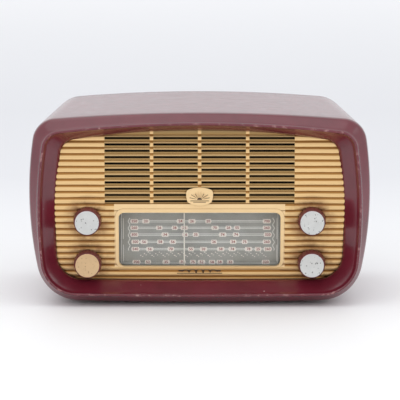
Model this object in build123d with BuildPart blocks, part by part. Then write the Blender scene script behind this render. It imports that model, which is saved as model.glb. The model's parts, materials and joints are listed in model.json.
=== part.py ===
"""Bakelite table radio of the 1950s: moulded cabinet, ribbed gold front, slide-rule dial,
four knobs, and the valve chassis with its loudspeaker inside.

Millimetres. X to the right, Y from the front to the back, Z up.
The origin is on the table, under the middle of the cabinet.
"""
from build123d import *
import math
import os

os.makedirs("parts", exist_ok=True)

# ---------------------------------------------------------------- driving dimensions
# cabinet
DEPTH = 182.0
Y_RIDGE = -DEPTH / 2                 # foremost line of the cabinet's rim
Y_BACK = DEPTH / 2
Y_CREASE = Y_RIDGE + 17.0            # where the front bevel meets the sides
Y_THROAT = Y_RIDGE + 16.0            # inner end of the splayed reveal
Y_INSIDE = Y_RIDGE + 26.0            # back of the rim, front of the hollow
WALL = 3.5
LUGS = ((147.0, 48.0), (152.0, 150.0))   # |x| and z of the back cover's screws
EAR_X = 156.0                        # screws that hold the front panel
EAR_Z = (60.0, 140.0)

# fits and stock sizes
FIT = 0.3                            # gap between pieces that don't turn on each other
RUN = 0.06                           # radial running clearance
SHAFT_R = 3.175                      # quarter-inch control shafts
SCREW_R = 1.5
SHEET = 1.2                          # sheet steel

# front panel, part of a cylinder about X
PANEL_R = 450.0
PANEL_Y = Y_RIDGE + 15.5             # its foremost line
PANEL_Z = 116.0
PANEL_T = 2.5
RIB_PITCH = 6.55
RIB_OUT = 1.3
RIBS_BELOW = 14                      # ribs below the lowest slot
SLOT_S = -6.75                       # lowest slot, along the panel from PANEL_Z
SLOT_H = 2.1
SLOT_ROWS = 11
LOUVRE_X = 98.0
BAR_X = 49.5
BAR_W = 3.6
BOSS_X = 108.0                       # bosses that carry the baffle
BOSS_Z = (118.0, 172.0)
BADGE_X = 13.2
BADGE_Z = 114.4
BADGE_RAYS = 7

# dial opening, window, plate and bracket
DIAL_X = 83.8                        # half width
DIAL_LOW = 39.2
DIAL_TOP = 97.3
BEZEL_W = 3.6
WINDOW_Y = Y_INSIDE - 0.2
PLATE_Y = -59.0
BRACKET_Y = -56.5
LAMP_X = 60.0
LAMP_Z = 82.0

# dial drive
CORD_Y = -50.0
CORD_R = 0.4
DRUM_X = 0.0
DRUM_Z = 56.0
DRUM_R = 43.0                        # to the middle of the cord
PULLEY_R = 5.0                       # to the middle of the cord, on pulleys and spindle
PULLEY_X = 84.0
PULLEY_Z = 98.5
RAIL_Z = PULLEY_Z + PULLEY_R
RAIL_Y = -60.0
RAIL_R = 1.2
POINTER_X = -16.0

# knobs
KNOB_X = 116.0
KNOB_LOW = 43.7
KNOB_HIGH = 89.0
KNOB_R = 14.5
KNOB_FRONT_R = 13.3
KNOB_FRONT = Y_RIDGE + 0.5
KNOB_LONG = 13.4
LOW_KNOB_STEP = 2.0                  # the lower knobs sit this much further back
CAP_R = 11.0
FLUTES = 24

# loudspeaker
SPEAKER_X = -20.0
SPEAKER_Z = 149.5
SPEAKER_A = 80.0                     # ellipse half axes
SPEAKER_B = 42.0
RIM_SCREW_X = 70.0
RIM_SCREW_Z = 34.0
PAPER = 0.9                          # the cone's thickness, along Y
BAFFLE_Y = -62.0
BAFFLE_T = 3.0
BAFFLE_X = 118.0

# chassis
CHASSIS_X = 131.0
CHASSIS_FRONT = -45.0
CHASSIS_REAR = 72.0
CHASSIS_LOW = 17.0
DECK_Z = 58.0
PLATE_BACK = CHASSIS_FRONT + SHEET
BOLT_X = 104.0
BOLT_Y = (-30.0, 48.0)
BOLT_R = 2.5
BOLT_HEAD = 3.0

# tuning gang
GANG_X = 26.0
GANG_Y = (-36.0, 24.0)
GANG_Z = (34.0, 78.0)
VANE_R = 19.0
VANE_T = 0.8
VANE_PITCH = 3.6
VANE_REST = 111.4                    # direction of the vanes, degrees from +X

# what stands on the chassis, at (x, y)
VALVE_R = 10.5
VALVES = {
    "mixer_valve": (50.0, -12.0),
    "if_valve": (-52.0, -10.0),
    "detector_valve": (-92.0, 20.0),
    "output_valve": (-30.0, 52.0),
    "rectifier_valve": (8.0, 52.0),
}
VALVE_TALL = {
    "mixer_valve": 46.0,
    "if_valve": 42.0,
    "detector_valve": 46.0,
    "output_valve": 55.0,
    "rectifier_valve": 58.0,
}
IF_CANS = ((-62.0, 24.0), (-84.0, 54.0))
IF_SIDE = 24.0
CAN_PLACE = (38.0, 52.0)

# back cover and feet
COVER_Y = Y_BACK - 6.0
COVER_T = 3.0
GROMMET_X = 98.0
GROMMET_Z = 31.0
GROMMET_BORE = 4.5
FEET_X = 108.0
FEET_Y = (-52.0, 66.0)
FOOT_R = 8.0
FOOT_TOP = 4.0


# ---------------------------------------------------------------- small tools
def save(piece, label):
    """Label a finished piece and write it."""
    piece.part.label = label
    export_step(piece.part, f"parts/{label}.step")


def block(x, y, z, mode=Mode.ADD):
    """A box from three (low, high) pairs."""
    with Locations(((x[0] + x[1]) / 2, (y[0] + y[1]) / 2, (z[0] + z[1]) / 2)):
        Box(x[1] - x[0], y[1] - y[0], z[1] - z[0], mode=mode)


def turned(x, z, profile, mode=Mode.ADD):
    """Turn a closed (radius, y) profile about the line along Y through x, z."""
    with BuildSketch(Plane((x, 0, z), x_dir=(1, 0, 0), z_dir=(0, 0, 1))) as half:
        with BuildLine():
            Polyline(*profile, close=True)
        make_face()
    revolve(half.sketch, axis=Axis((x, 0, z), (0, 1, 0)), mode=mode)


def turned_up(x, y, profile, mode=Mode.ADD):
    """Turn a closed (radius, z) profile about the line along Z through x, y."""
    with BuildSketch(Plane((x, y, 0), x_dir=(1, 0, 0), z_dir=(0, -1, 0))) as half:
        with BuildLine():
            Polyline(*profile, close=True)
        make_face()
    revolve(half.sketch, axis=Axis((x, y, 0), (0, 0, 1)), mode=mode)


def rod(x, z, radius, y, mode=Mode.ADD):
    """A round bar along Y."""
    turned(x, z, [(0, y[0]), (radius, y[0]), (radius, y[1]), (0, y[1])], mode)


def post(x, y, radius, z, mode=Mode.ADD):
    """A round bar along Z."""
    turned_up(x, y, [(0, z[0]), (radius, z[0]), (radius, z[1]), (0, z[1])], mode)


def tube(x, z, inner, outer, y):
    """A round tube along Y."""
    turned(x, z, [(inner, y[0]), (outer, y[0]), (outer, y[1]), (inner, y[1])])


def screw(x, z, radius, head_y, tip_y):
    """A cheese-head screw along Y with a slot in its head."""
    way = math.copysign(1.0, tip_y - head_y)
    under = head_y + way * 2.0
    profile = [(0, head_y), (2 * radius, head_y), (2 * radius, under)]
    profile += [(radius, under), (radius, tip_y), (0, tip_y)]
    turned(x, z, profile)
    slot = sorted((head_y - way, head_y + way * 0.8))
    block((x - 3 * radius, x + 3 * radius), slot, (z - 0.4, z + 0.4), Mode.SUBTRACT)


def arc_by_rise(half, edge_z, middle_z):
    """An arc across the middle plane, level with edge_z at its ends."""
    return ThreePointArc((-half, edge_z), (0, middle_z), (half, edge_z))


def outline(y, top, bottom, wide, wide_z, top_r, side_r, bottom_r, corners, grow=0.0):
    """The rounded cabinet outline at depth y: crowned top, bowed sides, rounded corners.

    top and bottom are the heights in the middle, wide is the largest half width, at
    height wide_z, top_r, side_r and bottom_r are the radii of the long curves, and
    corners gives the upper and lower corner radii. grow moves the outline outwards.
    """
    def side(z):
        return wide - (z - wide_z) ** 2 / (2 * side_r)

    upper_z = top - side(top) ** 2 / (2 * top_r)
    lower_z = bottom + side(bottom) ** 2 / (2 * bottom_r)
    upper_x = side(upper_z)
    lower_x = side(lower_z)
    with BuildSketch(Plane((0, y, 0), x_dir=(1, 0, 0), z_dir=(0, -1, 0))) as sketch:
        with BuildLine():
            arc_by_rise(upper_x, upper_z, top)
            ThreePointArc((upper_x, upper_z), (wide, wide_z), (lower_x, lower_z))
            arc_by_rise(lower_x, lower_z, bottom)
            ThreePointArc((-lower_x, lower_z), (-wide, wide_z), (-upper_x, upper_z))
        make_face()
        fillet(sketch.vertices().sort_by(Axis.Y)[-2:], corners[0] + grow)
        fillet(sketch.vertices().sort_by(Axis.Y)[:2], corners[1] + grow)
    return sketch.sketch


def crease(y, grow=0.0):
    """The cabinet's widest outline, at the back of the front bevel."""
    return outline(y, 201.3 + grow, 2.0 - grow, 176.2 + grow, 117.0, 1830.0, 390.0, 5000.0,
            (25.0, 45.0), grow)


def tail(y, grow=0.0):
    """The smaller outline at the back of the cabinet."""
    return outline(y, 200.6 + grow, 2.6 - grow, 163.4 + grow, 112.0, 1600.0, 380.0, 5000.0,
            (31.0, 45.0), grow)


def ridge(y, grow=0.0):
    """The foremost line of the rim."""
    return outline(y, 191.6 + grow, 12.2 - grow, 165.5 + grow, 97.0, 1260.0, 480.0, 6000.0,
            (18.0, 36.0), grow)


def throat(y, grow=0.0):
    """The front opening at the inner end of the reveal."""
    return outline(y, 183.6 + grow, 24.9 - grow, 148.9 + grow, 78.0, 850.0, 640.0, 9000.0,
            (17.0, 27.0), grow)


def rim_space(gap):
    """The space in front of and inside the rim, smaller all round by gap."""
    lip = ridge(Y_RIDGE + 1.0, -1.6 - gap)
    inner_end = throat(Y_THROAT, -gap)
    loft([ridge(Y_RIDGE - 0.1, -0.5 - gap), lip], ruled=True)
    loft([lip, inner_end], ruled=True)
    loft([inner_end, throat(Y_INSIDE + 6.0, -gap)], ruled=True)


def on_panel(s, out=0.0):
    """The (y, z) point at arc length s up the panel, out mm in front of its grooves."""
    angle = s / PANEL_R
    radius = PANEL_R + out
    return (PANEL_Y + PANEL_R - radius * math.cos(angle), PANEL_Z + radius * math.sin(angle))


def panel_y(z):
    """Depth of the panel's grooves at height z."""
    return PANEL_Y + PANEL_R - math.sqrt(PANEL_R ** 2 - (z - PANEL_Z) ** 2)


def panel_band(low, high, inner, outer, half):
    """A curved slab of the panel between two arc lengths and two offsets."""
    middle = (low + high) / 2
    with BuildSketch(Plane((-half, 0, 0), x_dir=(0, 1, 0), z_dir=(1, 0, 0))) as section:
        with BuildLine():
            ThreePointArc(on_panel(low, outer), on_panel(middle, outer), on_panel(high, outer))
            Line(on_panel(high, outer), on_panel(high, inner))
            ThreePointArc(on_panel(high, inner), on_panel(middle, inner), on_panel(low, inner))
            Line(on_panel(low, inner), on_panel(low, outer))
        make_face()
    extrude(section.sketch, amount=2 * half)


def dial_shape(y, half, low, top, corner, depth, mode=Mode.ADD):
    """A rounded rectangle of the dial's proportions, extruded towards the back."""
    with BuildSketch(Plane((0, y, (low + top) / 2), x_dir=(1, 0, 0), z_dir=(0, -1, 0))) as face:
        RectangleRounded(2 * half, top - low, corner)
    extrude(face.sketch, amount=-depth, mode=mode)


# ---------------------------------------------------------------- cabinet
with BuildPart() as rim_cut:
    rim_space(0.0)

with BuildPart() as hollow:
    loft([crease(Y_INSIDE, -WALL), tail(Y_BACK + 0.1, -WALL)], ruled=True)

with BuildPart() as panel_space:
    rim_space(0.25)

with BuildPart() as cabinet:
    nose = ridge(Y_RIDGE + 1.0, 1.5)
    brow = crease(Y_CREASE - 1.4, -0.2)
    shoulder = crease(Y_CREASE + 1.4, 0.1)
    loft([ridge(Y_RIDGE, 0.5), nose], ruled=True)
    loft([nose, brow], ruled=True)
    loft([brow, shoulder], ruled=True)
    loft([shoulder, tail(Y_BACK)], ruled=True)
    add(rim_cut.part, mode=Mode.SUBTRACT)
    add(hollow.part, mode=Mode.SUBTRACT)
    # lugs that take the back cover's screws, each let into the side wall
    for x, z in LUGS:
        for side in (-1, 1):
            span = sorted((side * (x - 6.0), side * (x + 7.5)))
            block(span, (COVER_Y - 12.0, COVER_Y - FIT), (z - 6.0, z + 6.0))
            rod(side * x, z, SCREW_R + 0.05, (COVER_Y - 11.0, COVER_Y + 1.0), Mode.SUBTRACT)
    # blind holes for the screws that hold the front panel
    for x in (-EAR_X, EAR_X):
        for z in EAR_Z:
            rod(x, z, SCREW_R + 0.05, (Y_INSIDE - 7.0, Y_INSIDE + 1.0), Mode.SUBTRACT)
    # pockets for the feet, and holes for the chassis bolts
    for x in (-FEET_X, FEET_X):
        for y in FEET_Y:
            post(x, y, FOOT_R + 0.1, (0.0, FOOT_TOP), Mode.SUBTRACT)
    for x in (-BOLT_X, BOLT_X):
        for y in BOLT_Y:
            post(x, y, BOLT_R + 0.3, (0.0, 10.0), Mode.SUBTRACT)
save(cabinet, "cabinet")

with BuildPart() as rubber_feet:
    for x in (-FEET_X, FEET_X):
        for y in FEET_Y:
            profile = [(0, 0), (FOOT_R - 0.8, 0), (FOOT_R, 0.8), (FOOT_R, FOOT_TOP), (0, FOOT_TOP)]
            turned_up(x, y, profile)
save(rubber_feet, "rubber_feet")

# ---------------------------------------------------------------- front panel
with BuildPart() as front_panel:
    panel_band(-105.0, 78.0, -PANEL_T, 0.0, 160.0)
    # half-round ribs between narrow grooves
    with BuildSketch(Plane((-160.0, 0, 0), x_dir=(0, 1, 0), z_dir=(1, 0, 0))) as ribs:
        for row in range(-RIBS_BELOW, SLOT_ROWS + 1):
            middle = SLOT_S + row * RIB_PITCH
            low = middle - RIB_PITCH / 2 + 0.35
            high = middle + RIB_PITCH / 2 - 0.35
            with BuildLine():
                Line(on_panel(low, -0.5), on_panel(low, 0.5))
                ThreePointArc(on_panel(low, 0.5), on_panel(middle, RIB_OUT), on_panel(high, 0.5))
                Line(on_panel(high, 0.5), on_panel(high, -0.5))
                Line(on_panel(high, -0.5), on_panel(low, -0.5))
            make_face()
    extrude(ribs.sketch, amount=320.0)
    # louvre slots through the ribs' crests, in four columns
    for row in range(SLOT_ROWS):
        y, z = on_panel(SLOT_S + row * RIB_PITCH)
        for left in (-LOUVRE_X, -BAR_X + BAR_W / 2, BAR_W / 2, BAR_X + BAR_W / 2):
            right = left + BAR_X - BAR_W
            if left == -LOUVRE_X:
                right = -BAR_X - BAR_W / 2
            if left > BAR_W:
                right = LOUVRE_X
            slot_z = (z - SLOT_H / 2, z + SLOT_H / 2)
            block((left, right), (y - 5.0, y + 6.0), slot_z, Mode.SUBTRACT)
    # plain lands above, beside and below the dial
    panel_band(-16.3, -9.8, -0.5, RIB_OUT, LOUVRE_X)
    panel_band(-88.0, -79.6, -0.5, 0.6, DIAL_X)
    # raised bezel and the well that leads in to the window
    with BuildPart(mode=Mode.PRIVATE) as bezel:
        panel_band(-84.0, -8.0, -PANEL_T, RIB_OUT + 0.7, 100.0)
        dial_shape(-100.0, DIAL_X + BEZEL_W, DIAL_LOW - 1.6, DIAL_TOP + 3.8, 8.5, 60.0,
                   Mode.INTERSECT)
    add(bezel.part)
    with BuildPart(mode=Mode.PRIVATE) as well:
        dial_shape(PANEL_Y + 0.6, DIAL_X + 2.0, DIAL_LOW - 2.0, DIAL_TOP + 2.0, 7.0,
                   WINDOW_Y - PANEL_Y - 0.8)
        with BuildPart(mode=Mode.PRIVATE) as in_front:
            panel_band(-100.0, 60.0, 0.0, 30.0, 120.0)
        add(in_front.part, mode=Mode.SUBTRACT)
    add(well.part)
    dial_shape(-100.0, DIAL_X, DIAL_LOW, DIAL_TOP, 6.0, 60.0, Mode.SUBTRACT)
    add(panel_space.part, mode=Mode.INTERSECT)
    # holes for the control shafts
    for x in (-KNOB_X, KNOB_X):
        for z in (KNOB_LOW, KNOB_HIGH):
            rod(x, z, SHAFT_R + 1.6, (-95.0, -55.0), Mode.SUBTRACT)
    # ears behind the rim, for the fixing screws
    for x in (-EAR_X, EAR_X):
        for z in EAR_Z:
            inner_x = math.copysign(EAR_X - 22.0, x)
            outer_x = math.copysign(EAR_X + 5.0, x)
            ear_y = (Y_INSIDE + 0.2, Y_INSIDE + 2.2)
            block(sorted((inner_x, outer_x)), ear_y, (z - 5.0, z + 5.0))
            web_x = math.copysign(EAR_X - 10.5, x)
            web_y = (panel_y(z - 4.0) + 1.2, Y_INSIDE + 2.2)
            block(sorted((inner_x, web_x)), web_y, (z - 5.0, z - 3.0))
            rod(x, z, SCREW_R + 0.3, (Y_INSIDE - 1.0, Y_INSIDE + 4.0), Mode.SUBTRACT)
    # bosses that carry the baffle
    for x in (-BOSS_X, BOSS_X):
        for z in BOSS_Z:
            rod(x, z, 4.0, (panel_y(z) + 1.0, BAFFLE_Y))
            rod(x, z, SCREW_R + 0.05, (BAFFLE_Y - 6.0, BAFFLE_Y + 1.0), Mode.SUBTRACT)
save(front_panel, "front_panel")

with BuildPart() as front_screws:
    for x in (-EAR_X, EAR_X):
        for z in EAR_Z:
            screw(x, z, SCREW_R, Y_INSIDE + 4.2, Y_INSIDE - 6.0)
    for x in (-BOSS_X, BOSS_X):
        for z in BOSS_Z:
            screw(x, z, SCREW_R, BAFFLE_Y + BAFFLE_T + 2.0, BAFFLE_Y - 5.0)
    for x in (SPEAKER_X - RIM_SCREW_X, SPEAKER_X + RIM_SCREW_X):
        for z in (SPEAKER_Z - RIM_SCREW_Z, SPEAKER_Z + RIM_SCREW_Z):
            screw(x, z, SCREW_R, BAFFLE_Y + BAFFLE_T + 3.5, BAFFLE_Y + 0.4)
save(front_screws, "front_screws")

# badge with a plain sunburst, fixed over the middle bar of the louvre
with BuildPart() as badge:
    with BuildSketch(Plane((0, PANEL_Y - 2.9, BADGE_Z), x_dir=(1, 0, 0), z_dir=(0, -1, 0))) as plate:
        with BuildLine():
            ThreePointArc((-BADGE_X, 6.5), (0, 9.4), (BADGE_X, 6.5))
            ThreePointArc((BADGE_X, 6.5), (BADGE_X + 0.6, 0), (BADGE_X - 1.0, -6.0))
            ThreePointArc((BADGE_X - 1.0, -6.0), (0, -9.6), (-BADGE_X + 1.0, -6.0))
            ThreePointArc((-BADGE_X + 1.0, -6.0), (-BADGE_X - 0.6, 0), (-BADGE_X, 6.5))
        make_face()
        fillet(plate.vertices(), 3.0)
    extrude(plate.sketch, amount=-1.5)
    # rays that stand half a millimetre proud, round a point low on the plate
    with BuildSketch(Plane((0, PANEL_Y - 2.9, BADGE_Z - 3.4), x_dir=(1, 0, 0), z_dir=(0, -1, 0))) as rays:
        with PolarLocations(0, BADGE_RAYS, start_angle=20.0, angular_range=140.0):
            with Locations((5.4, 0)):
                Rectangle(6.0, 0.6)
    extrude(rays.sketch, amount=0.5)
    for x in (-8.0, 8.0):
        rod(x, BADGE_Z - 1.0, 1.0, (PANEL_Y - 2.0, PANEL_Y - 1.4))
save(badge, "badge")

# ---------------------------------------------------------------- dial
with BuildPart() as dial_window:
    dial_shape(WINDOW_Y, DIAL_X + 4.5, DIAL_LOW - 4.5, DIAL_TOP + 4.0, 6.0, 1.4)
save(dial_window, "dial_window")

with BuildPart() as dial_plate:
    dial_shape(PLATE_Y, DIAL_X + 6.0, DIAL_LOW - 6.0, DIAL_TOP + 2.5, 3.0, 1.2)
save(dial_plate, "dial_plate")

with BuildPart() as dial_bracket:
    block((-98.0, 98.0), (BRACKET_Y, BRACKET_Y + SHEET), (28.0, 98.0))
    for side in (-1, 1):
        # ears that carry the pulleys, and tabs that hold the pointer rail
        block(sorted((side * 76.0, side * 98.0)), (BRACKET_Y, BRACKET_Y + SHEET), (97.0, 106.4))
        block(sorted((side * 96.8, side * 98.0)), (RAIL_Y - 2.6, BRACKET_Y + 0.5), (99.0, 106.4))
        rod(side * PULLEY_X, PULLEY_Z, 1.6, (BRACKET_Y + SHEET, CORD_Y + 2.6))
        # feet that stand on the front of the chassis, and lips that hold the plate's lower edge
        foot_x = sorted((side * 60.0, side * 90.0))
        block(foot_x, (BRACKET_Y, CHASSIS_FRONT), (28.0, 29.2))
        block(foot_x, (CHASSIS_FRONT - SHEET, CHASSIS_FRONT), (28.0, 44.0))
        lip_x = sorted((side * 30.0, side * 60.0))
        block(lip_x, (PLATE_Y - 1.6, BRACKET_Y + 0.5), (30.6, 31.8))
        # holes for the lamps
        rod(side * LAMP_X, LAMP_Z, 6.5, (BRACKET_Y - 1.0, BRACKET_Y + 3.0), Mode.SUBTRACT)
    rod(DRUM_X, DRUM_Z, 5.0, (BRACKET_Y - 1.0, BRACKET_Y + 3.0), Mode.SUBTRACT)
    for side in (-1, 1):
        with BuildPart(mode=Mode.PRIVATE) as rail_hole:
            with BuildSketch(Plane.YZ.offset(side * 97.4 - 2.0)) as ring:
                with Locations((RAIL_Y, RAIL_Z)):
                    Circle(RAIL_R)
            extrude(ring.sketch, amount=4.0)
        add(rail_hole.part, mode=Mode.SUBTRACT)
save(dial_bracket, "dial_bracket")

with BuildPart() as pointer_rail:
    with BuildSketch(Plane.YZ.offset(-99.0)) as bar:
        with Locations((RAIL_Y, RAIL_Z)):
            Circle(RAIL_R)
    extrude(bar.sketch, amount=198.0)
save(pointer_rail, "pointer_rail")

with BuildPart() as dial_pointer:
    carriage_x = (POINTER_X - 7.0, POINTER_X + 7.0)
    block(carriage_x, (RAIL_Y - 2.4, RAIL_Y + 2.2), (RAIL_Z - 2.4, RAIL_Z + 2.4))
    arm_x = (POINTER_X - 0.7, POINTER_X + 0.7)
    block(arm_x, (RAIL_Y - 2.4, RAIL_Y - 1.6), (DIAL_LOW - 1.0, RAIL_Z))
    clamp_x = (POINTER_X - 3.0, POINTER_X + 3.0)
    block(clamp_x, (RAIL_Y + 2.0, CORD_Y + 1.4), (RAIL_Z + 1.0, RAIL_Z + 2.2))
    block(clamp_x, (CORD_Y - 1.4, CORD_Y + 1.4), (RAIL_Z - 1.6, RAIL_Z + 1.8))
    with BuildSketch(Plane.YZ.offset(POINTER_X - 10.0)) as bore:
        with Locations((RAIL_Y, RAIL_Z)):
            Circle(RAIL_R + RUN)
        with Locations((CORD_Y, RAIL_Z)):
            Circle(CORD_R + 0.3)
    extrude(bore.sketch, amount=20.0, mode=Mode.SUBTRACT)
save(dial_pointer, "dial_pointer")

for side, place in ((-1, "left"), (1, "right")):
    with BuildPart() as idler_pulley:
        groove = PULLEY_R - CORD_R - 0.3
        flange = PULLEY_R + 1.6
        profile = [(1.6 + RUN, -1.5), (flange, -1.5), (flange, -1.1), (groove, -0.8)]
        profile += [(groove, 0.8), (flange, 1.1), (flange, 1.5), (1.6 + RUN, 1.5)]
        turned(side * PULLEY_X, PULLEY_Z, [(r, CORD_Y + y) for r, y in profile])
    save(idler_pulley, f"idler_pulley_{place}")

with BuildPart() as dial_drum:
    groove = DRUM_R - CORD_R - 0.3
    rim = [(groove - 3.0, -2.0), (DRUM_R + 1.4, -2.0), (DRUM_R + 1.4, -1.4), (groove, -1.1)]
    rim += [(groove, 1.1), (DRUM_R + 1.4, 1.4), (DRUM_R + 1.4, 2.0), (groove - 3.0, 2.0)]
    turned(DRUM_X, DRUM_Z, [(r, CORD_Y + y) for r, y in rim])
    tube(DRUM_X, DRUM_Z, 6.0, groove - 2.5, (CORD_Y - 0.6, CORD_Y + 0.6))
    tube(DRUM_X, DRUM_Z, SHAFT_R, 7.0, (CORD_Y - 3.0, CORD_Y + 4.0))
    # windows that lighten the web
    for angle in range(30, 390, 60):
        x = DRUM_X + 23.0 * math.cos(math.radians(angle))
        z = DRUM_Z + 23.0 * math.sin(math.radians(angle))
        rod(x, z, 8.0, (CORD_Y - 1.0, CORD_Y + 1.0), Mode.SUBTRACT)
save(dial_drum, "dial_drum")


def tangent(centre_a, radius_a, centre_b, radius_b, side):
    """Ends of the straight that touches two circles on the same side of their line."""
    dx = centre_b[0] - centre_a[0]
    dz = centre_b[1] - centre_a[1]
    length = math.hypot(dx, dz)
    along = (radius_a - radius_b) / length
    across = side * math.sqrt(1 - along ** 2)
    nx = (dx * along - dz * across) / length
    nz = (dz * along + dx * across) / length
    start = (centre_a[0] + radius_a * nx, centre_a[1] + radius_a * nz)
    end = (centre_b[0] + radius_b * nx, centre_b[1] + radius_b * nz)
    return start, end


def outer_point(centre, radius, first, last, long_way=False):
    """The point of a circle half way round from first to last."""
    x = (first[0] + last[0]) / 2 - centre[0]
    z = (first[1] + last[1]) / 2 - centre[1]
    scale = radius / math.hypot(x, z)
    if long_way:
        scale = -scale
    return (centre[0] + x * scale, centre[1] + z * scale)


# drive cord, from the pointer over the right pulley, round the spindle, under the drum,
# up to the left pulley and back to the pointer, with a second turn on drum and spindle
with BuildPart() as dial_cord:
    drum = (DRUM_X, DRUM_Z)
    left = (-PULLEY_X, PULLEY_Z)
    right = (PULLEY_X, PULLEY_Z)
    spindle = (KNOB_X, KNOB_HIGH)
    clamp = (POINTER_X, RAIL_Z)
    drop = tangent(right, PULLEY_R, spindle, PULLEY_R, 1)
    back = tangent(drum, DRUM_R, spindle, PULLEY_R, -1)
    rise = tangent(drum, DRUM_R, left, PULLEY_R, 1)
    over_left = (-PULLEY_X, RAIL_Z)
    over_right = (PULLEY_X, RAIL_Z)
    with BuildLine(Plane((0, CORD_Y + 0.05, 0), x_dir=(1, 0, 0), z_dir=(0, -1, 0))) as route:
        Line((clamp[0] + 0.1, clamp[1]), over_right)
        ThreePointArc(over_right, outer_point(right, PULLEY_R, over_right, drop[0]), drop[0])
        Line(*drop)
        ThreePointArc(drop[1], outer_point(spindle, PULLEY_R, drop[1], back[1]), back[1])
        Line(back[1], back[0])
        ThreePointArc(back[0], outer_point(drum, DRUM_R, back[0], rise[0]), rise[0])
        Line(*rise)
        ThreePointArc(rise[1], outer_point(left, PULLEY_R, rise[1], over_left), over_left)
        Line(over_left, (clamp[0] - 0.1, clamp[1]))
    with BuildSketch(Plane((clamp[0] + 0.1, CORD_Y + 0.05, clamp[1]), z_dir=(1, 0, 0))) as strand:
        Circle(CORD_R)
    sweep(strand.sketch, path=route.wires()[0])
    for centre, radius in ((drum, DRUM_R), (spindle, PULLEY_R)):
        with BuildSketch(Plane((centre[0], 0, centre[1]), x_dir=(1, 0, 0), z_dir=(0, 0, 1))) as turn:
            with Locations((radius, CORD_Y - 0.8)):
                Circle(CORD_R - 0.05)
        revolve(turn.sketch, axis=Axis((centre[0], 0, centre[1]), (0, 1, 0)))
save(dial_cord, "dial_cord")

with BuildPart() as lamp_holders:
    for x in (-LAMP_X, LAMP_X):
        tube(x, LAMP_Z, 4.2, 5.4, (-42.0, -33.0))
        rod(x, LAMP_Z, 5.4, (-34.0, -32.8))
        block((x - 2.0, x + 2.0), (BRACKET_Y + SHEET, -33.5), (LAMP_Z + 5.0, LAMP_Z + 6.2))
        clip_y = (BRACKET_Y + SHEET, BRACKET_Y + SHEET + 1.0)
        block((x - 4.0, x + 4.0), clip_y, (LAMP_Z + 7.2, LAMP_Z + 14.0))
        block((x - 2.0, x + 2.0), clip_y, (LAMP_Z + 5.0, LAMP_Z + 8.0))
save(lamp_holders, "lamp_holders")

with BuildPart() as dial_lamps:
    for x in (-LAMP_X, LAMP_X):
        bulb = [(0, -54.6), (2.6, -54.0), (4.6, -51.5), (5.0, -49.0), (4.4, -45.0)]
        turned(x, LAMP_Z, bulb + [(4.0, -42.5), (4.0, -35.0), (1.5, -34.1), (0, -34.1)])
save(dial_lamps, "dial_lamps")

# ---------------------------------------------------------------- loudspeaker
with BuildPart() as speaker_baffle:
    low_z = RAIL_Z + 4.0
    high_z = 191.5
    with BuildSketch(Plane((0, BAFFLE_Y, 0), x_dir=(1, 0, 0), z_dir=(0, -1, 0))) as board:
        with Locations((0, (low_z + high_z) / 2)):
            RectangleRounded(2 * BAFFLE_X, high_z - low_z, 14.0)
        with Locations((SPEAKER_X, SPEAKER_Z)):
            Ellipse(SPEAKER_A - 7.0, SPEAKER_B - 6.0, mode=Mode.SUBTRACT)
        with Locations(*[(x, z) for x in (-BOSS_X, BOSS_X) for z in BOSS_Z]):
            Circle(SCREW_R + 0.05, mode=Mode.SUBTRACT)
        rim_screws = [(x, z) for x in (SPEAKER_X - RIM_SCREW_X, SPEAKER_X + RIM_SCREW_X)
                      for z in (SPEAKER_Z - RIM_SCREW_Z, SPEAKER_Z + RIM_SCREW_Z)]
        with Locations(*rim_screws):
            Circle(SCREW_R + 0.05, mode=Mode.SUBTRACT)
    extrude(board.sketch, amount=-BAFFLE_T)
save(speaker_baffle, "speaker_baffle")

with BuildPart() as grille_cloth:
    block((-100.5, 100.5), (BAFFLE_Y - 0.5, BAFFLE_Y - 0.1), (RAIL_Z + 4.2, 182.0))
save(grille_cloth, "grille_cloth")


def speaker_oval(y, half_x, half_z):
    """An ellipse on the speaker's axis at depth y."""
    with BuildSketch(Plane((SPEAKER_X, y, SPEAKER_Z), x_dir=(1, 0, 0), z_dir=(0, -1, 0))) as oval:
        Ellipse(half_x, half_z)
    return oval.sketch


with BuildPart() as speaker_basket:
    rim_y = BAFFLE_Y + BAFFLE_T
    back_y = rim_y + 31.0
    with BuildSketch(Plane((SPEAKER_X, rim_y, SPEAKER_Z), x_dir=(1, 0, 0), z_dir=(0, -1, 0))) as rim:
        RectangleRounded(2 * SPEAKER_A, 2 * SPEAKER_B, 18.0)
        Ellipse(SPEAKER_A - 5.0, SPEAKER_B - 4.5, mode=Mode.SUBTRACT)
        corners = [(x, z) for x in (-RIM_SCREW_X, RIM_SCREW_X) for z in (-RIM_SCREW_Z, RIM_SCREW_Z)]
        with Locations(*corners):
            Circle(SCREW_R + 0.05, mode=Mode.SUBTRACT)
    outer_front = speaker_oval(rim_y + 0.6, SPEAKER_A - 3.4, SPEAKER_B - 3.0)
    inner_front = speaker_oval(rim_y + 0.5, SPEAKER_A - 5.0, SPEAKER_B - 4.5)
    loft([outer_front, speaker_oval(back_y, 33.0, 32.9)])
    loft([inner_front, speaker_oval(back_y - 1.4, 31.6, 31.5)], mode=Mode.SUBTRACT)
    extrude(rim.sketch, amount=-1.4)
    rod(SPEAKER_X, SPEAKER_Z, 13.4, (back_y - 3.0, back_y + 1.0), Mode.SUBTRACT)
    # windows between the basket's four spokes
    for angle in (0, 90, 180, 270):
        with BuildPart(mode=Mode.PRIVATE) as window:
            with Locations(Location((SPEAKER_X, back_y - 12.0, SPEAKER_Z), (0, angle, 0))):
                with Locations((60.0, 0, 0)):
                    Box(80.0, 15.0, 34.0)
        add(window.part, mode=Mode.SUBTRACT)
save(speaker_basket, "speaker_basket")

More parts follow.
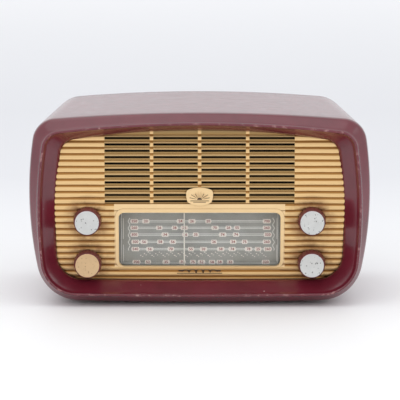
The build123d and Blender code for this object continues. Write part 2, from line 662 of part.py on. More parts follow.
with BuildPart() as speaker_magnet:
    face = BAFFLE_Y + BAFFLE_T + 31.0
    profile = [(0, face - 0.5), (11.3, face - 0.5), (11.3, face + 6.0), (13.2, face + 6.0)]
    profile += [(13.2, face), (25.0, face), (26.0, face + 1.0), (26.0, face + 19.0)]
    profile += [(23.0, face + 22.0), (0, face + 22.0)]
    turned(SPEAKER_X, SPEAKER_Z, profile)
save(speaker_magnet, "speaker_magnet")

with BuildPart() as speaker_cone:
    cone_front = rim_y + 1.0
    cone_back = rim_y + 24.0
    mouth = (SPEAKER_A - 7.8, SPEAKER_B - 6.8)
    neck = (12.9, 12.8)
    loft([speaker_oval(cone_front, *mouth), speaker_oval(cone_back, *neck)])
    loft([speaker_oval(cone_front - PAPER, *mouth), speaker_oval(cone_back - PAPER, *neck)],
         mode=Mode.SUBTRACT)
    tube(SPEAKER_X, SPEAKER_Z, 11.8, 12.6, (cone_back - 0.5, face + 4.0))
    dome = [(0, cone_back - 5.0), (6.5, cone_back - 4.0), (11.0, cone_back - 1.4)]
    dome += [(12.0, cone_back - 0.5)]
    turned(SPEAKER_X, SPEAKER_Z, dome + [(0, cone_back - 0.5)])
save(speaker_cone, "speaker_cone")

# ---------------------------------------------------------------- knobs and controls
CONTROLS = {
    "tuning": (KNOB_X, KNOB_HIGH),
    "band": (KNOB_X, KNOB_LOW),
    "volume": (-KNOB_X, KNOB_HIGH),
    "tone": (-KNOB_X, KNOB_LOW),
}

for control, (x, z) in CONTROLS.items():
    front = KNOB_FRONT
    if z == KNOB_LOW:
        front = KNOB_FRONT + LOW_KNOB_STEP
    rear = front + KNOB_LONG

    # fluted knob with a recess in front for its cap and a blind bore behind
    with BuildPart() as knob:
        bore = SHAFT_R + 0.02
        profile = [(CAP_R + 0.15, front), (KNOB_FRONT_R - 0.6, front), (KNOB_FRONT_R, front + 0.7)]
        profile += [(KNOB_R, rear - 1.2), (KNOB_R, rear), (SHAFT_R + 3.5, rear)]
        profile += [(SHAFT_R + 3.5, rear - 1.0), (bore, rear - 1.0), (bore, front + 4.0)]
        profile += [(0, front + 4.0), (0, front + 2.2), (CAP_R + 0.15, front + 2.2)]
        turned(x, z, profile)
        for flute in range(FLUTES):
            angle = 2 * math.pi * flute / FLUTES
            flute_x = x + (KNOB_R + 0.35) * math.cos(angle)
            flute_z = z + (KNOB_R + 0.35) * math.sin(angle)
            rod(flute_x, flute_z, 1.1, (front + 1.2, rear + 0.1), Mode.SUBTRACT)
    save(knob, f"{control}_knob")

    # spun metal cap, slightly dished, with a rolled edge
    with BuildPart() as cap:
        dish = [(0, front + 1.1), (CAP_R - 1.4, front + 0.2), (CAP_R - 0.6, front)]
        dish += [(CAP_R, front + 0.4), (CAP_R, front + 2.2), (CAP_R - 0.8, front + 2.2)]
        dish += [(CAP_R - 0.8, front + 1.2), (0, front + 1.9)]
        turned(x, z, dish)
    save(cap, f"{control}_knob_cap")

    # quarter-inch shaft from inside the knob to inside the control
    with BuildPart() as shaft:
        end = PLATE_BACK + 8.0
        profile = [(0, front + 4.1), (SHAFT_R, front + 4.1)]
        if control == "tuning":
            spool = PULLEY_R - CORD_R - 0.3
            flange = PULLEY_R + 1.2
            profile += [(SHAFT_R, CORD_Y - 2.4), (flange, CORD_Y - 2.4), (flange, CORD_Y - 1.9)]
            profile += [(spool, CORD_Y - 1.6), (spool, CORD_Y + 1.2), (flange, CORD_Y + 1.5)]
            profile += [(flange, CORD_Y + 2.0), (SHAFT_R, CORD_Y + 2.0)]
        profile += [(SHAFT_R, end), (0, end)]
        turned(x, z, profile)
    save(shaft, f"{control}_shaft")

with BuildPart() as tuning_bush:
    x, z = CONTROLS["tuning"]
    bore = SHAFT_R + RUN
    profile = [(bore, PLATE_BACK - 2.4), (7.0, PLATE_BACK - 2.4), (7.0, PLATE_BACK - SHEET)]
    profile += [(4.7, PLATE_BACK - SHEET), (4.7, PLATE_BACK + 6.0), (bore, PLATE_BACK + 6.0)]
    turned(x, z, profile)
save(tuning_bush, "tuning_bush")

BODIES = {
    "volume": ("volume_pot", 12.0, 15.0),
    "tone": ("tone_pot", 12.0, 11.0),
    "band": ("band_switch", 12.0, 26.0),
}
for control, (label, radius, long) in BODIES.items():
    x, z = CONTROLS[control]
    bore = SHAFT_R + RUN
    nose = PLATE_BACK - SHEET - 6.0
    with BuildPart() as body:
        profile = [(bore, nose), (4.7, nose), (4.7, PLATE_BACK), (radius, PLATE_BACK)]
        profile += [(radius, PLATE_BACK + long), (0, PLATE_BACK + long), (0, PLATE_BACK + 9.0)]
        turned(x, z, profile + [(bore, PLATE_BACK + 9.0)])
        for tag in (-1, 0, 1):
            tag_x = x + 5.0 * tag
            tag_y = (PLATE_BACK + 2.0, PLATE_BACK + 2.6)
            block((tag_x - 1.0, tag_x + 1.0), tag_y, (z - radius - 4.0, z - 9.0))
    save(body, label)

with BuildPart() as control_nuts:
    for control, (x, z) in CONTROLS.items():
        nut_y = PLATE_BACK - SHEET - 2.2
        if control == "tuning":
            nut_y = PLATE_BACK
        with BuildSketch(Plane((x, nut_y, z), x_dir=(1, 0, 0), z_dir=(0, -1, 0))) as nut:
            RegularPolygon(7.4, 6)
            Circle(4.7, mode=Mode.SUBTRACT)
        extrude(nut.sketch, amount=-2.2)
save(control_nuts, "control_nuts")

# ---------------------------------------------------------------- tuning gang
VANES = [GANG_Y[0] + 6.0 + VANE_PITCH * i for i in range(6)]
VANES += [GANG_Y[1] - 6.0 - VANE_PITCH * i for i in range(6)]

with BuildPart() as gang_frame:
    block((-GANG_X, GANG_X), GANG_Y, (GANG_Z[0], GANG_Z[0] + 1.5))
    for y in (GANG_Y[0], GANG_Y[1] - 1.5):
        block((-GANG_X, GANG_X), (y, y + 1.5), GANG_Z)
        for side in (-1, 1):
            span = sorted((side * (GANG_X - 1.0), side * (GANG_X + 9.0)))
            block(span, (y, y + 1.5), (DECK_Z, DECK_Z + 8.0))
            block(span, sorted((y, y + math.copysign(7.0, -y))), (DECK_Z, DECK_Z + 1.5))
    block((-3.0, 3.0), (-6.75, -5.25), (GANG_Z[0], GANG_Z[0] + 14.0))
    rod(DRUM_X, DRUM_Z, SHAFT_R + RUN, (GANG_Y[0] - 1.0, GANG_Y[1] + 1.0), Mode.SUBTRACT)
save(gang_frame, "gang_frame")

with BuildPart() as gang_rotor:
    rod(DRUM_X, DRUM_Z, SHAFT_R, (CORD_Y - 3.0, GANG_Y[1] + 3.0))
    # half-round vanes, turned up as far as the dial shows
    for y in VANES:
        with BuildSketch(Plane((DRUM_X, y, DRUM_Z), x_dir=(1, 0, 0), z_dir=(0, -1, 0))) as vane:
            Circle(VANE_R)
            with Locations(Location((0, 0, 0), (0, 0, VANE_REST - 90.0))):
                with Locations((0, -VANE_R - 3.0)):
                    Rectangle(3 * VANE_R, 2 * VANE_R, mode=Mode.SUBTRACT)
        extrude(vane.sketch, amount=-VANE_T)
save(gang_rotor, "gang_rotor")

with BuildPart() as gang_stator:
    for y in VANES:
        stator_y = y + VANE_PITCH / 2
        block((-24.0, -6.0), (stator_y, stator_y + VANE_T), (40.0, 74.0))
    for low, high in ((0, 5), (11, 6)):
        for z in (42.0, 72.0):
            block((-24.0, -21.0), (VANES[low] + 1.0, VANES[high] + 3.4), (z - 1.5, z + 1.5))
save(gang_stator, "gang_stator")

# ---------------------------------------------------------------- chassis
with BuildPart() as chassis:
    left_right = (-CHASSIS_X, CHASSIS_X)
    front_back = (CHASSIS_FRONT, CHASSIS_REAR)
    block(left_right, front_back, (DECK_Z - SHEET, DECK_Z))
    block(left_right, (CHASSIS_FRONT, CHASSIS_FRONT + SHEET), (CHASSIS_LOW, DECK_Z))
    block(left_right, (CHASSIS_REAR - SHEET, CHASSIS_REAR), (CHASSIS_LOW, DECK_Z))
    for side in (-1, 1):
        end_x = sorted((side * (CHASSIS_X - SHEET), side * CHASSIS_X))
        flange_x = sorted((side * (BOLT_X - 8.0), side * CHASSIS_X))
        block(end_x, front_back, (CHASSIS_LOW, DECK_Z))
        block(flange_x, front_back, (CHASSIS_LOW, CHASSIS_LOW + SHEET))
        # upright plates for the two upper controls
        plate_x = sorted((side * 100.0, side * CHASSIS_X))
        block(plate_x, (CHASSIS_FRONT, PLATE_BACK), (DECK_Z - 1.0, KNOB_HIGH + 14.0))
        block(end_x, (CHASSIS_FRONT, CHASSIS_FRONT + 18.0), (DECK_Z - 1.0, DECK_Z + 20.0))
    # opening for the gang, open to the front for its shaft
    gang_x = (-GANG_X - 2.0, GANG_X + 2.0)
    gang_y = (GANG_Y[0] - 2.0, GANG_Y[1] + 4.0)
    block(gang_x, gang_y, (DECK_Z - 3.0, DECK_Z + 1.0), Mode.SUBTRACT)
    notch_y = (CHASSIS_FRONT - 1.0, GANG_Y[0])
    block((-7.0, 7.0), notch_y, (DRUM_Z - 8.0, DECK_Z + 1.0), Mode.SUBTRACT)
    for x, z in CONTROLS.values():
        rod(x, z, 4.8, (CHASSIS_FRONT - 1.0, PLATE_BACK + 1.0), Mode.SUBTRACT)
    for x, y in VALVES.values():
        post(x, y, 8.0, (DECK_Z - 3.0, DECK_Z + 1.0), Mode.SUBTRACT)
    for x in (-BOLT_X, BOLT_X):
        for y in BOLT_Y:
            post(x, y, BOLT_R + 0.1, (CHASSIS_LOW - 1.0, CHASSIS_LOW + 3.0), Mode.SUBTRACT)
save(chassis, "chassis")

with BuildPart() as chassis_bolts:
    for x in (-BOLT_X, BOLT_X):
        for y in BOLT_Y:
            profile = [(0, 1.0), (4.5, 1.0), (4.5, BOLT_HEAD), (BOLT_R, BOLT_HEAD)]
            turned_up(x, y, profile + [(BOLT_R, CHASSIS_LOW + 6.0), (0, CHASSIS_LOW + 6.0)])
save(chassis_bolts, "chassis_bolts")

with BuildPart() as chassis_spacers:
    for x in (-BOLT_X, BOLT_X):
        for y in BOLT_Y:
            hole = BOLT_R + 0.1
            turned_up(x, y, [(hole, 7.6), (6.0, 7.6), (6.0, CHASSIS_LOW), (hole, CHASSIS_LOW)])
save(chassis_spacers, "chassis_spacers")

with BuildPart() as valve_sockets:
    for x, y in VALVES.values():
        profile = [(0, DECK_Z - 7.0), (7.6, DECK_Z - 7.0), (7.6, DECK_Z), (12.5, DECK_Z)]
        profile += [(12.5, DECK_Z + 1.0), (8.0, DECK_Z + 2.5), (0, DECK_Z + 2.5)]
        turned_up(x, y, profile)
save(valve_sockets, "valve_sockets")

for label, (x, y) in VALVES.items():
    with BuildPart() as valve:
        foot = DECK_Z + 2.6
        top = foot + VALVE_TALL[label]
        profile = [(0, foot), (8.6, foot), (VALVE_R, foot + 3.0), (VALVE_R, top - 10.0)]
        profile += [(VALVE_R - 1.4, top - 6.0), (5.0, top - 3.4), (1.6, top - 2.4)]
        turned_up(x, y, profile + [(0.8, top), (0, top)])
    save(valve, label)

for index, (x, y) in enumerate(IF_CANS, start=1):
    with BuildPart() as if_can:
        with BuildSketch(Plane((x, y, DECK_Z))) as base:
            RectangleRounded(IF_SIDE, IF_SIDE, 3.0)
        extrude(base.sketch, amount=46.0)
        fillet(if_can.faces().sort_by(Axis.Z)[-1].edges(), 1.5)
        for hole_z in (DECK_Z + 16.0, DECK_Z + 34.0):
            rod(x, hole_z, 2.6, (y + IF_SIDE / 2 - 3.0, y + IF_SIDE / 2 + 1.0), Mode.SUBTRACT)
    save(if_can, f"if_can_{index}")

with BuildPart() as electrolytic_can:
    x, y = CAN_PLACE
    profile = [(0, DECK_Z), (14.5, DECK_Z), (14.5, DECK_Z + 1.2), (12.5, DECK_Z + 1.2)]
    profile += [(12.5, DECK_Z + 44.0), (11.5, DECK_Z + 45.0), (0, DECK_Z + 45.0)]
    turned_up(x, y, profile)
save(electrolytic_can, "electrolytic_can")


def transformer(centre_x, centre_y, wide, tall, stack, coil):
    """Laminated core standing on the deck, with a wound bobbin through it."""
    stack_y = (centre_y - stack / 2, centre_y + stack / 2)
    block((centre_x - wide / 2, centre_x + wide / 2), stack_y, (DECK_Z + 1.4, DECK_Z + tall))
    window_x = (centre_x - wide / 3, centre_x + wide / 3)
    coil_z = (DECK_Z + tall * 0.2, DECK_Z + tall * 0.82)
    block(window_x, (centre_y - coil, centre_y + coil), coil_z)
    for side in (-1, 1):
        span = sorted((centre_x + side * (wide / 2 - 2.0), centre_x + side * (wide / 2 + 7.0)))
        block(span, stack_y, (DECK_Z, DECK_Z + 1.6))


with BuildPart() as power_transformer:
    transformer(92.0, 34.0, 58.0, 52.0, 28.0, 25.0)
save(power_transformer, "power_transformer")

with BuildPart() as output_transformer:
    transformer(-94.0, -12.0, 36.0, 32.0, 16.0, 13.0)
save(output_transformer, "output_transformer")

with BuildPart() as under_chassis_parts:
    # paper capacitors and resistors below the deck, then the coil pack
    for index in range(6):
        x = -96.0 + index * 13.0
        with BuildSketch(Plane((x, 36.0, 40.0), x_dir=(1, 0, 0), z_dir=(0, 1, 0))) as wrap:
            Circle(4.5)
        extrude(wrap.sketch, amount=26.0)
    for index in range(6):
        x = -24.0 + index * 9.0
        with BuildSketch(Plane((x, 44.0, 30.0), x_dir=(1, 0, 0), z_dir=(0, 1, 0))) as stick:
            Circle(2.4)
        extrude(stick.sketch, amount=14.0)
    block((60.0, 100.0), (0.0, 30.0), (34.0, 50.0))
save(under_chassis_parts, "under_chassis_parts")

with BuildPart() as terminal_block:
    block((-60.0, -20.0), (CHASSIS_REAR, CHASSIS_REAR + 8.0), (24.0, 38.0))
    for x in (-52.0, -40.0, -28.0):
        rod(x, 31.0, 2.1, (CHASSIS_REAR + 1.0, CHASSIS_REAR + 9.0), Mode.SUBTRACT)
save(terminal_block, "terminal_block")

# ---------------------------------------------------------------- back cover
with BuildPart() as back_cover:
    extrude(tail(COVER_Y, -WALL - 0.5), amount=-COVER_T)
    # rows of upright ventilation slots
    for row_z in (78.0, 112.0, 146.0):
        for column in range(-9, 10):
            slot_x = (column * 13.0 - 2.2, column * 13.0 + 2.2)
            block(slot_x, (COVER_Y - 1.0, COVER_Y + 5.0), (row_z, row_z + 22.0), Mode.SUBTRACT)
    block((-64.0, -16.0), (COVER_Y - 1.0, COVER_Y + 5.0), (21.0, 41.0), Mode.SUBTRACT)
    rod(GROMMET_X, GROMMET_Z, 8.0, (COVER_Y - 1.0, COVER_Y + 5.0), Mode.SUBTRACT)
    for x, z in LUGS:
        for side in (-1, 1):
            rod(side * x, z, SCREW_R + 0.3, (COVER_Y - 1.0, COVER_Y + 5.0), Mode.SUBTRACT)
save(back_cover, "back_cover")

with BuildPart() as back_screws:
    for x, z in LUGS:
        for side in (-1, 1):
            screw(side * x, z, SCREW_R, COVER_Y + COVER_T + 2.0, COVER_Y - 9.0)
save(back_screws, "back_screws")

with BuildPart() as mains_grommet:
    inner = GROMMET_BORE
    outside = COVER_Y + COVER_T
    profile = [(inner, COVER_Y - 1.6), (9.6, COVER_Y - 1.6), (9.6, COVER_Y), (8.0, COVER_Y)]
    profile += [(8.0, outside), (9.6, outside), (9.6, outside + 1.6), (inner, outside + 1.6)]
    turned(GROMMET_X, GROMMET_Z, profile)
save(mains_grommet, "mains_grommet")
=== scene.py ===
"""The bakelite table radio's looks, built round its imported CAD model. Metres, same frame."""
import json
import math
import random

import bmesh
import bpy
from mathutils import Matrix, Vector


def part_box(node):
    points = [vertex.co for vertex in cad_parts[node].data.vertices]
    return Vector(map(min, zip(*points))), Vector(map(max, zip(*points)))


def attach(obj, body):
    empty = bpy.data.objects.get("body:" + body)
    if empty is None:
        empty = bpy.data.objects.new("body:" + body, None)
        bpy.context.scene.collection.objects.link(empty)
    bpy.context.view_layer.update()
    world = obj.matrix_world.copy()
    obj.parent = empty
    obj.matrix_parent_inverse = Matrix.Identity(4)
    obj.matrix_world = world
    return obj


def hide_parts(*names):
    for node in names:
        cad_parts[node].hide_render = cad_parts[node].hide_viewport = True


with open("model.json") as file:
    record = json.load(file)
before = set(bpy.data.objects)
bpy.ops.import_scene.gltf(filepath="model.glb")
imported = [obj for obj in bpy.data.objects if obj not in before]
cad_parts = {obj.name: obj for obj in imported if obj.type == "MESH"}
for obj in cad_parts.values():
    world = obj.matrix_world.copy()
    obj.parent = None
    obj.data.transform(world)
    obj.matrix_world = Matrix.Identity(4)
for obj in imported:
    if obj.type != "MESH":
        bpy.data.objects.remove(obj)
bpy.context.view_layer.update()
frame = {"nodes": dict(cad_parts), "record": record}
nodes = frame["nodes"]
MM = 0.001

# the cabinet's outlines: top, bottom, widest half width and its height, radii of the top, side
# and bottom curves, upper and lower corner radii, all in mm, as the CAD model has them
CREASE = (201.3, 2.0, 176.2, 117.0, 1830.0, 390.0, 5000.0, 25.0, 45.0)
TAIL = (200.6, 2.6, 163.4, 112.0, 1600.0, 380.0, 5000.0, 31.0, 45.0)
RIDGE = (191.6, 12.2, 165.5, 97.0, 1260.0, 480.0, 6000.0, 18.0, 36.0)
THROAT = (183.6, 24.9, 148.9, 78.0, 850.0, 640.0, 9000.0, 17.0, 27.0)
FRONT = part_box("cabinet")[0].y / MM
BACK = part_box("cabinet")[1].y / MM
CREASE_DEPTH = 17.0
SHOULDER = 3.0
RIDGE_R = 1.5
THROAT_DEPTH = 16.0
INSIDE_DEPTH = 26.0
WALL = 3.5

# the front panel's curve and ribs, in mm; distances along the curve start at PANEL_Z
PANEL_R = 450.0
PANEL_Y = -75.5
PANEL_Z = 116.0
RIB_OUT = 0.6
RIB_PITCH = 6.55
FIRST_SLOT = -6.75
LOUVRE_X = 98.0
LOUVRE_LOW = 106.5
BAR_X = 49.5
BAR_HALF = 1.8
BEZEL_X = 88.4
BEZEL_LOW = 38.5
BADGE_BACK = -77.9

# the knobs' places, in mm
KNOB_X = 116.0
KNOB_Z = (89.0, 43.7)


# ---------------------------------------------------------------- node helpers
def new_material(name):
    """A material with its node tree, its shader and its links to hand."""
    material = bpy.data.materials.new(name)
    material.use_nodes = True
    tree = material.node_tree
    shader = tree.nodes["Principled BSDF"]
    return material, tree, shader


def node(tree, kind, **values):
    """Add a node; keyword values set its properties or its inputs of that name."""
    made = tree.nodes.new(kind)
    for key, value in values.items():
        label = key.replace("_", " ").title()
        if key in made.bl_rna.properties:
            setattr(made, key, value)
        else:
            made.inputs[label].default_value = value
    return made


def place(tree, scale=(1.0, 1.0, 1.0)):
    """Object coordinates, stretched by scale."""
    source = node(tree, "ShaderNodeTexCoord")
    mapping = node(tree, "ShaderNodeMapping", scale=scale)
    tree.links.new(source.outputs["Object"], mapping.inputs["Vector"])
    return mapping.outputs["Vector"]


def axes(tree):
    """The object coordinates apart: X, Y and Z."""
    source = node(tree, "ShaderNodeTexCoord")
    apart = node(tree, "ShaderNodeSeparateXYZ")
    tree.links.new(source.outputs["Object"], apart.inputs["Vector"])
    return apart.outputs["X"], apart.outputs["Y"], apart.outputs["Z"]


def noise(tree, where, scale, detail=4.0, roughness=0.5):
    """A noise factor."""
    made = node(tree, "ShaderNodeTexNoise", scale=scale, detail=detail, roughness=roughness)
    tree.links.new(where, made.inputs["Vector"])
    return made.outputs["Fac"]


def ramp(tree, factor, stops):
    """A colour ramp from (position, colour or grey level) stops."""
    made = node(tree, "ShaderNodeValToRGB")
    elements = made.color_ramp.elements
    while len(elements) < len(stops):
        elements.new(0.5)
    for element, (position, colour) in zip(elements, stops):
        element.position = position
        if isinstance(colour, (int, float)):
            colour = (colour, colour, colour)
        element.color = (*colour, 1.0)
    tree.links.new(factor, made.inputs["Fac"])
    return made.outputs["Color"]


def mix(tree, factor, first, second, blend="MIX"):
    """Mix two colours, each a colour or a socket, by a socket or a number."""
    made = tree.nodes.new("ShaderNodeMix")
    made.data_type = "RGBA"
    made.blend_type = blend
    for value, socket in ((factor, made.inputs[0]), (first, made.inputs[6]), (second, made.inputs[7])):
        if isinstance(value, bpy.types.NodeSocket):
            tree.links.new(value, socket)
        elif isinstance(value, (int, float)):
            socket.default_value = value
        else:
            socket.default_value = (*value, 1.0)
    return made.outputs[2]


def bump(tree, shader, height, strength, distance):
    """Bump from a height socket."""
    made = node(tree, "ShaderNodeBump", strength=strength, distance=distance)
    tree.links.new(height, made.inputs["Height"])
    tree.links.new(made.outputs["Normal"], shader.inputs["Normal"])


def convex_edge_highlight(tree):
    """White on convex edges, black elsewhere: where a painted highlight goes."""
    geometry = node(tree, "ShaderNodeNewGeometry")
    return ramp(tree, geometry.outputs["Pointiness"], [(0.52, 0.0), (0.6, 1.0)])


def wash(name, dark, light, rough=(0.3, 0.5), scale=60.0, metallic=0.0, fine=900.0, grain=0.15,
         stretch=(1.0, 1.0, 1.0), edge=None, coat=0.0):
    """A general material: two tones in a cloudy mix, roughness to match, fine grain, a painted highlight on convex
    edges.
    """
    material, tree, shader = new_material(name)
    where = place(tree, stretch)
    cloud = noise(tree, where, scale)
    colour = ramp(tree, cloud, [(0.35, dark), (0.65, light)])
    # painted highlight: the edge colour laid on convex edges
    if edge:
        colour = mix(tree, convex_edge_highlight(tree), colour, edge)
    tree.links.new(colour, shader.inputs["Base Color"])
    tree.links.new(ramp(tree, cloud, [(0.3, rough[0]), (0.7, rough[1])]), shader.inputs["Roughness"])
    bump(tree, shader, noise(tree, where, fine, 2.0), grain, 0.0002)
    shader.inputs["Metallic"].default_value = metallic
    shader.inputs["Coat Weight"].default_value = coat
    return material


# ---------------------------------------------------------------- materials
def bakelite(name="bakelite", shine=(0.15, 0.3), coat=0.24):
    """Maroon bakelite: faint mottle, polish broken by hairlines, small chips, worn ridge."""
    material, tree, shader = new_material(name)
    where = place(tree)
    mottle = noise(tree, where, 38.0, 6.0, 0.6)
    colour = ramp(tree, mottle, [(0.3, (0.11, 0.0095, 0.0185)), (0.7, (0.142, 0.0135, 0.0255))])
    specks = node(tree, "ShaderNodeTexVoronoi", scale=150.0, randomness=1.0)
    tree.links.new(where, specks.inputs["Vector"])
    speck = ramp(tree, specks.outputs["Distance"], [(0.07, 1.0), (0.1, 0.0)])
    sparse = ramp(tree, noise(tree, where, 75.0, 1.0), [(0.66, 0.0), (0.7, 1.0)])
    chips = mix(tree, 1.0, speck, sparse, "MULTIPLY")
    colour = mix(tree, chips, colour, (0.55, 0.4, 0.38))
    hairs = ramp(tree, noise(tree, place(tree, (9.0, 1.0, 1.0)), 60.0, 6.0, 0.7), [(0.7, 0.0), (0.76, 0.35)])
    colour = mix(tree, hairs, colour, (0.3, 0.15, 0.16))
    wear = node(tree, "ShaderNodeAttribute", attribute_name="wear")
    patchy = ramp(tree, noise(tree, where, 120.0, 5.0, 0.7), [(0.55, 0.0), (0.65, 0.9)])
    worn = mix(tree, 1.0, wear.outputs["Color"], patchy, "MULTIPLY")
    colour = mix(tree, worn, colour, (0.4, 0.2, 0.19))
    tree.links.new(colour, shader.inputs["Base Color"])
    scratches = noise(tree, place(tree, (1.0, 9.0, 14.0)), 70.0, 8.0, 0.75)
    tree.links.new(ramp(tree, scratches, [(0.35, shine[0]), (0.75, shine[1])]), shader.inputs["Roughness"])
    bump(tree, shader, noise(tree, where, 24.0, 3.0), 0.12, 0.0006)
    shader.inputs["Coat Weight"].default_value = coat
    shader.inputs["Coat Roughness"].default_value = 0.1
    shader.inputs["IOR"].default_value = 1.55
    return material


def sums(tree, operation, first, second=0.0, third=None):
    """A math node on sockets or numbers."""
    made = tree.nodes.new("ShaderNodeMath")
    made.operation = operation
    for value, socket in zip((first, second, third), made.inputs):
        if isinstance(value, bpy.types.NodeSocket):
            tree.links.new(value, socket)
        elif value is not None:
            socket.default_value = value
    return made.outputs[0]


def distance(tree, first, second):
    """The length of a vector from two of its components."""
    squares = [sums(tree, "MULTIPLY", side, side) for side in (first, second)]
    return sums(tree, "SQRT", sums(tree, "ADD", *squares))


def painted_rib_light_and_shade(tree, where, height, in_louvre):
    """Painted light and shade by the distance round the curved panel, so that it stays with the ribs."""
    rise = sums(tree, "DIVIDE", sums(tree, "SUBTRACT", height, PANEL_Z * MM), PANEL_R * MM)
    along = sums(tree, "MULTIPLY", sums(tree, "ARCSINE", rise), PANEL_R)
    wobble = sums(tree, "MULTIPLY", noise(tree, where, 90.0, 3.0), 0.8)
    turn = sums(tree, "DIVIDE", sums(tree, "SUBTRACT", sums(tree, "ADD", along, wobble), FIRST_SLOT), RIB_PITCH)
    phase = sums(tree, "FRACT", sums(tree, "ADD", turn, 0.5))
    # painted shade: darker gold round each groove, in the lee of each rib; (1.0, 0.74, 0.38) is a painted highlight on
    # the rib beside it
    painted_lee_shade = (0.44, 0.21, 0.05)
    crest = (0.86, 0.58, 0.27)
    plain = ramp(tree, phase, [(0.0, painted_lee_shade), (0.2, painted_lee_shade), (0.27, (1.0, 0.74, 0.38)), (0.36, crest), (0.75, crest),
                               (0.84, painted_lee_shade), (1.0, painted_lee_shade)])
    # on the louvre, painted shade on each blade with a painted highlight (0.82, 0.56, 0.28) just below its groove
    louvre = ramp(tree, phase, [(0.0, (0.48, 0.29, 0.1)), (0.3, (0.36, 0.22, 0.08)), (0.6, (0.4, 0.26, 0.11)),
                                (0.8, (0.4, 0.27, 0.12)), (0.87, (0.82, 0.56, 0.28)), (0.95, (0.5, 0.31, 0.11))])
    return mix(tree, in_louvre, plain, louvre)


def louvre_mask(tree, sideways, height):
    """1 on the louvre, 0 on its upright bars and off it."""
    mask = sums(tree, "LESS_THAN", sideways, LOUVRE_X * MM)
    mask = sums(tree, "MULTIPLY", mask, sums(tree, "GREATER_THAN", height, LOUVRE_LOW * MM))
    for bar in (0.0, BAR_X * MM):
        off_bar = sums(tree, "ABSOLUTE", sums(tree, "SUBTRACT", sideways, bar))
        mask = sums(tree, "MULTIPLY", mask, sums(tree, "GREATER_THAN", off_bar, BAR_HALF * MM))
    return mask


def smooth_mask(tree, sideways, depth, height):
    """1 on the land above the dial, the bezel and the badge, which have no ribs."""
    land = sums(tree, "LESS_THAN", sideways, BEZEL_X * MM)
    land = sums(tree, "MULTIPLY", land, sums(tree, "LESS_THAN", height, LOUVRE_LOW * MM))
    land = sums(tree, "MULTIPLY", land, sums(tree, "GREATER_THAN", height, BEZEL_LOW * MM))
    return sums(tree, "MAXIMUM", land, sums(tree, "LESS_THAN", depth, BADGE_BACK * MM))


def painted_slot_shade_mask(tree, depth, height, in_louvre):
    """1 on the walls of the louvre's slots, half a millimetre or more behind the grooves: where shade is painted."""
    up = sums(tree, "SUBTRACT", height, PANEL_Z * MM)
    inward = sums(tree, "SUBTRACT", depth, (PANEL_Y + PANEL_R) * MM)
    below = sums(tree, "SUBTRACT", PANEL_R * MM, distance(tree, up, inward))
    return sums(tree, "MULTIPLY", in_louvre, sums(tree, "GREATER_THAN", below, 0.5 * MM))


def handled_mask(tree, sideways, height):
    """Patches round each knob, fading out 28 mm from its middle."""
    handled = 0.0
    for knob_height in KNOB_Z:
        over = sums(tree, "SUBTRACT", sideways, KNOB_X * MM)
        up = sums(tree, "SUBTRACT", height, knob_height * MM)
        near = sums(tree, "MULTIPLY_ADD", distance(tree, over, up), -70.0, 1.95)
        handled = sums(tree, "MAXIMUM", handled, near)
    patch = ramp(tree, noise(tree, place(tree), 70.0, 4.0, 0.6), [(0.38, 0.1), (0.62, 1.0)])
    return sums(tree, "MINIMUM", sums(tree, "MULTIPLY", handled, patch), 0.85)


def gold_lacquer():
    """Gold lacquer over a ribbed moulding: a painted highlight on each rib, painted shade in its lee, in the slots and
    in crevices, and browned by fingers.
    """
    material, tree, shader = new_material("gold_lacquer")
    where = place(tree, (0.35, 1.0, 1.0))
    across, depth, height = axes(tree)
    sideways = sums(tree, "ABSOLUTE", across)
    in_louvre = louvre_mask(tree, sideways, height)
    # painted highlight and painted shade on the ribs
    colour = painted_rib_light_and_shade(tree, where, height, in_louvre)
    colour = mix(tree, smooth_mask(tree, sideways, depth, height), colour, (0.9, 0.65, 0.35))
    cloud = noise(tree, where, 45.0, 5.0, 0.6)
    colour = mix(tree, 1.0, colour, ramp(tree, cloud, [(0.3, 0.9), (0.7, 1.0)]), "MULTIPLY")
    colour = mix(tree, handled_mask(tree, sideways, height), colour, (0.23, 0.085, 0.03))
    # painted shade: the slots' walls darkened nearly to black
    colour = mix(tree, painted_slot_shade_mask(tree, depth, height, in_louvre), colour, (0.05, 0.025, 0.012))
    # painted shade: gold browned where ambient occlusion finds crevices and nearby parts within 3 mm
    crevice_occlusion = node(tree, "ShaderNodeAmbientOcclusion", samples=8)
    crevice_occlusion.inputs["Distance"].default_value = 3.0 * MM
    shade = ramp(tree, crevice_occlusion.outputs["AO"], [(0.25, (0.35, 0.2, 0.08)), (0.8, (1.0, 1.0, 1.0))])
    colour = mix(tree, 1.0, colour, shade, "MULTIPLY")
    tree.links.new(colour, shader.inputs["Base Color"])
    tree.links.new(ramp(tree, cloud, [(0.3, 0.34), (0.7, 0.48)]), shader.inputs["Roughness"])
    bump(tree, shader, noise(tree, where, 1500.0, 2.0), 0.1, 0.0001)
    shader.inputs["Metallic"].default_value = 0.6
    return material


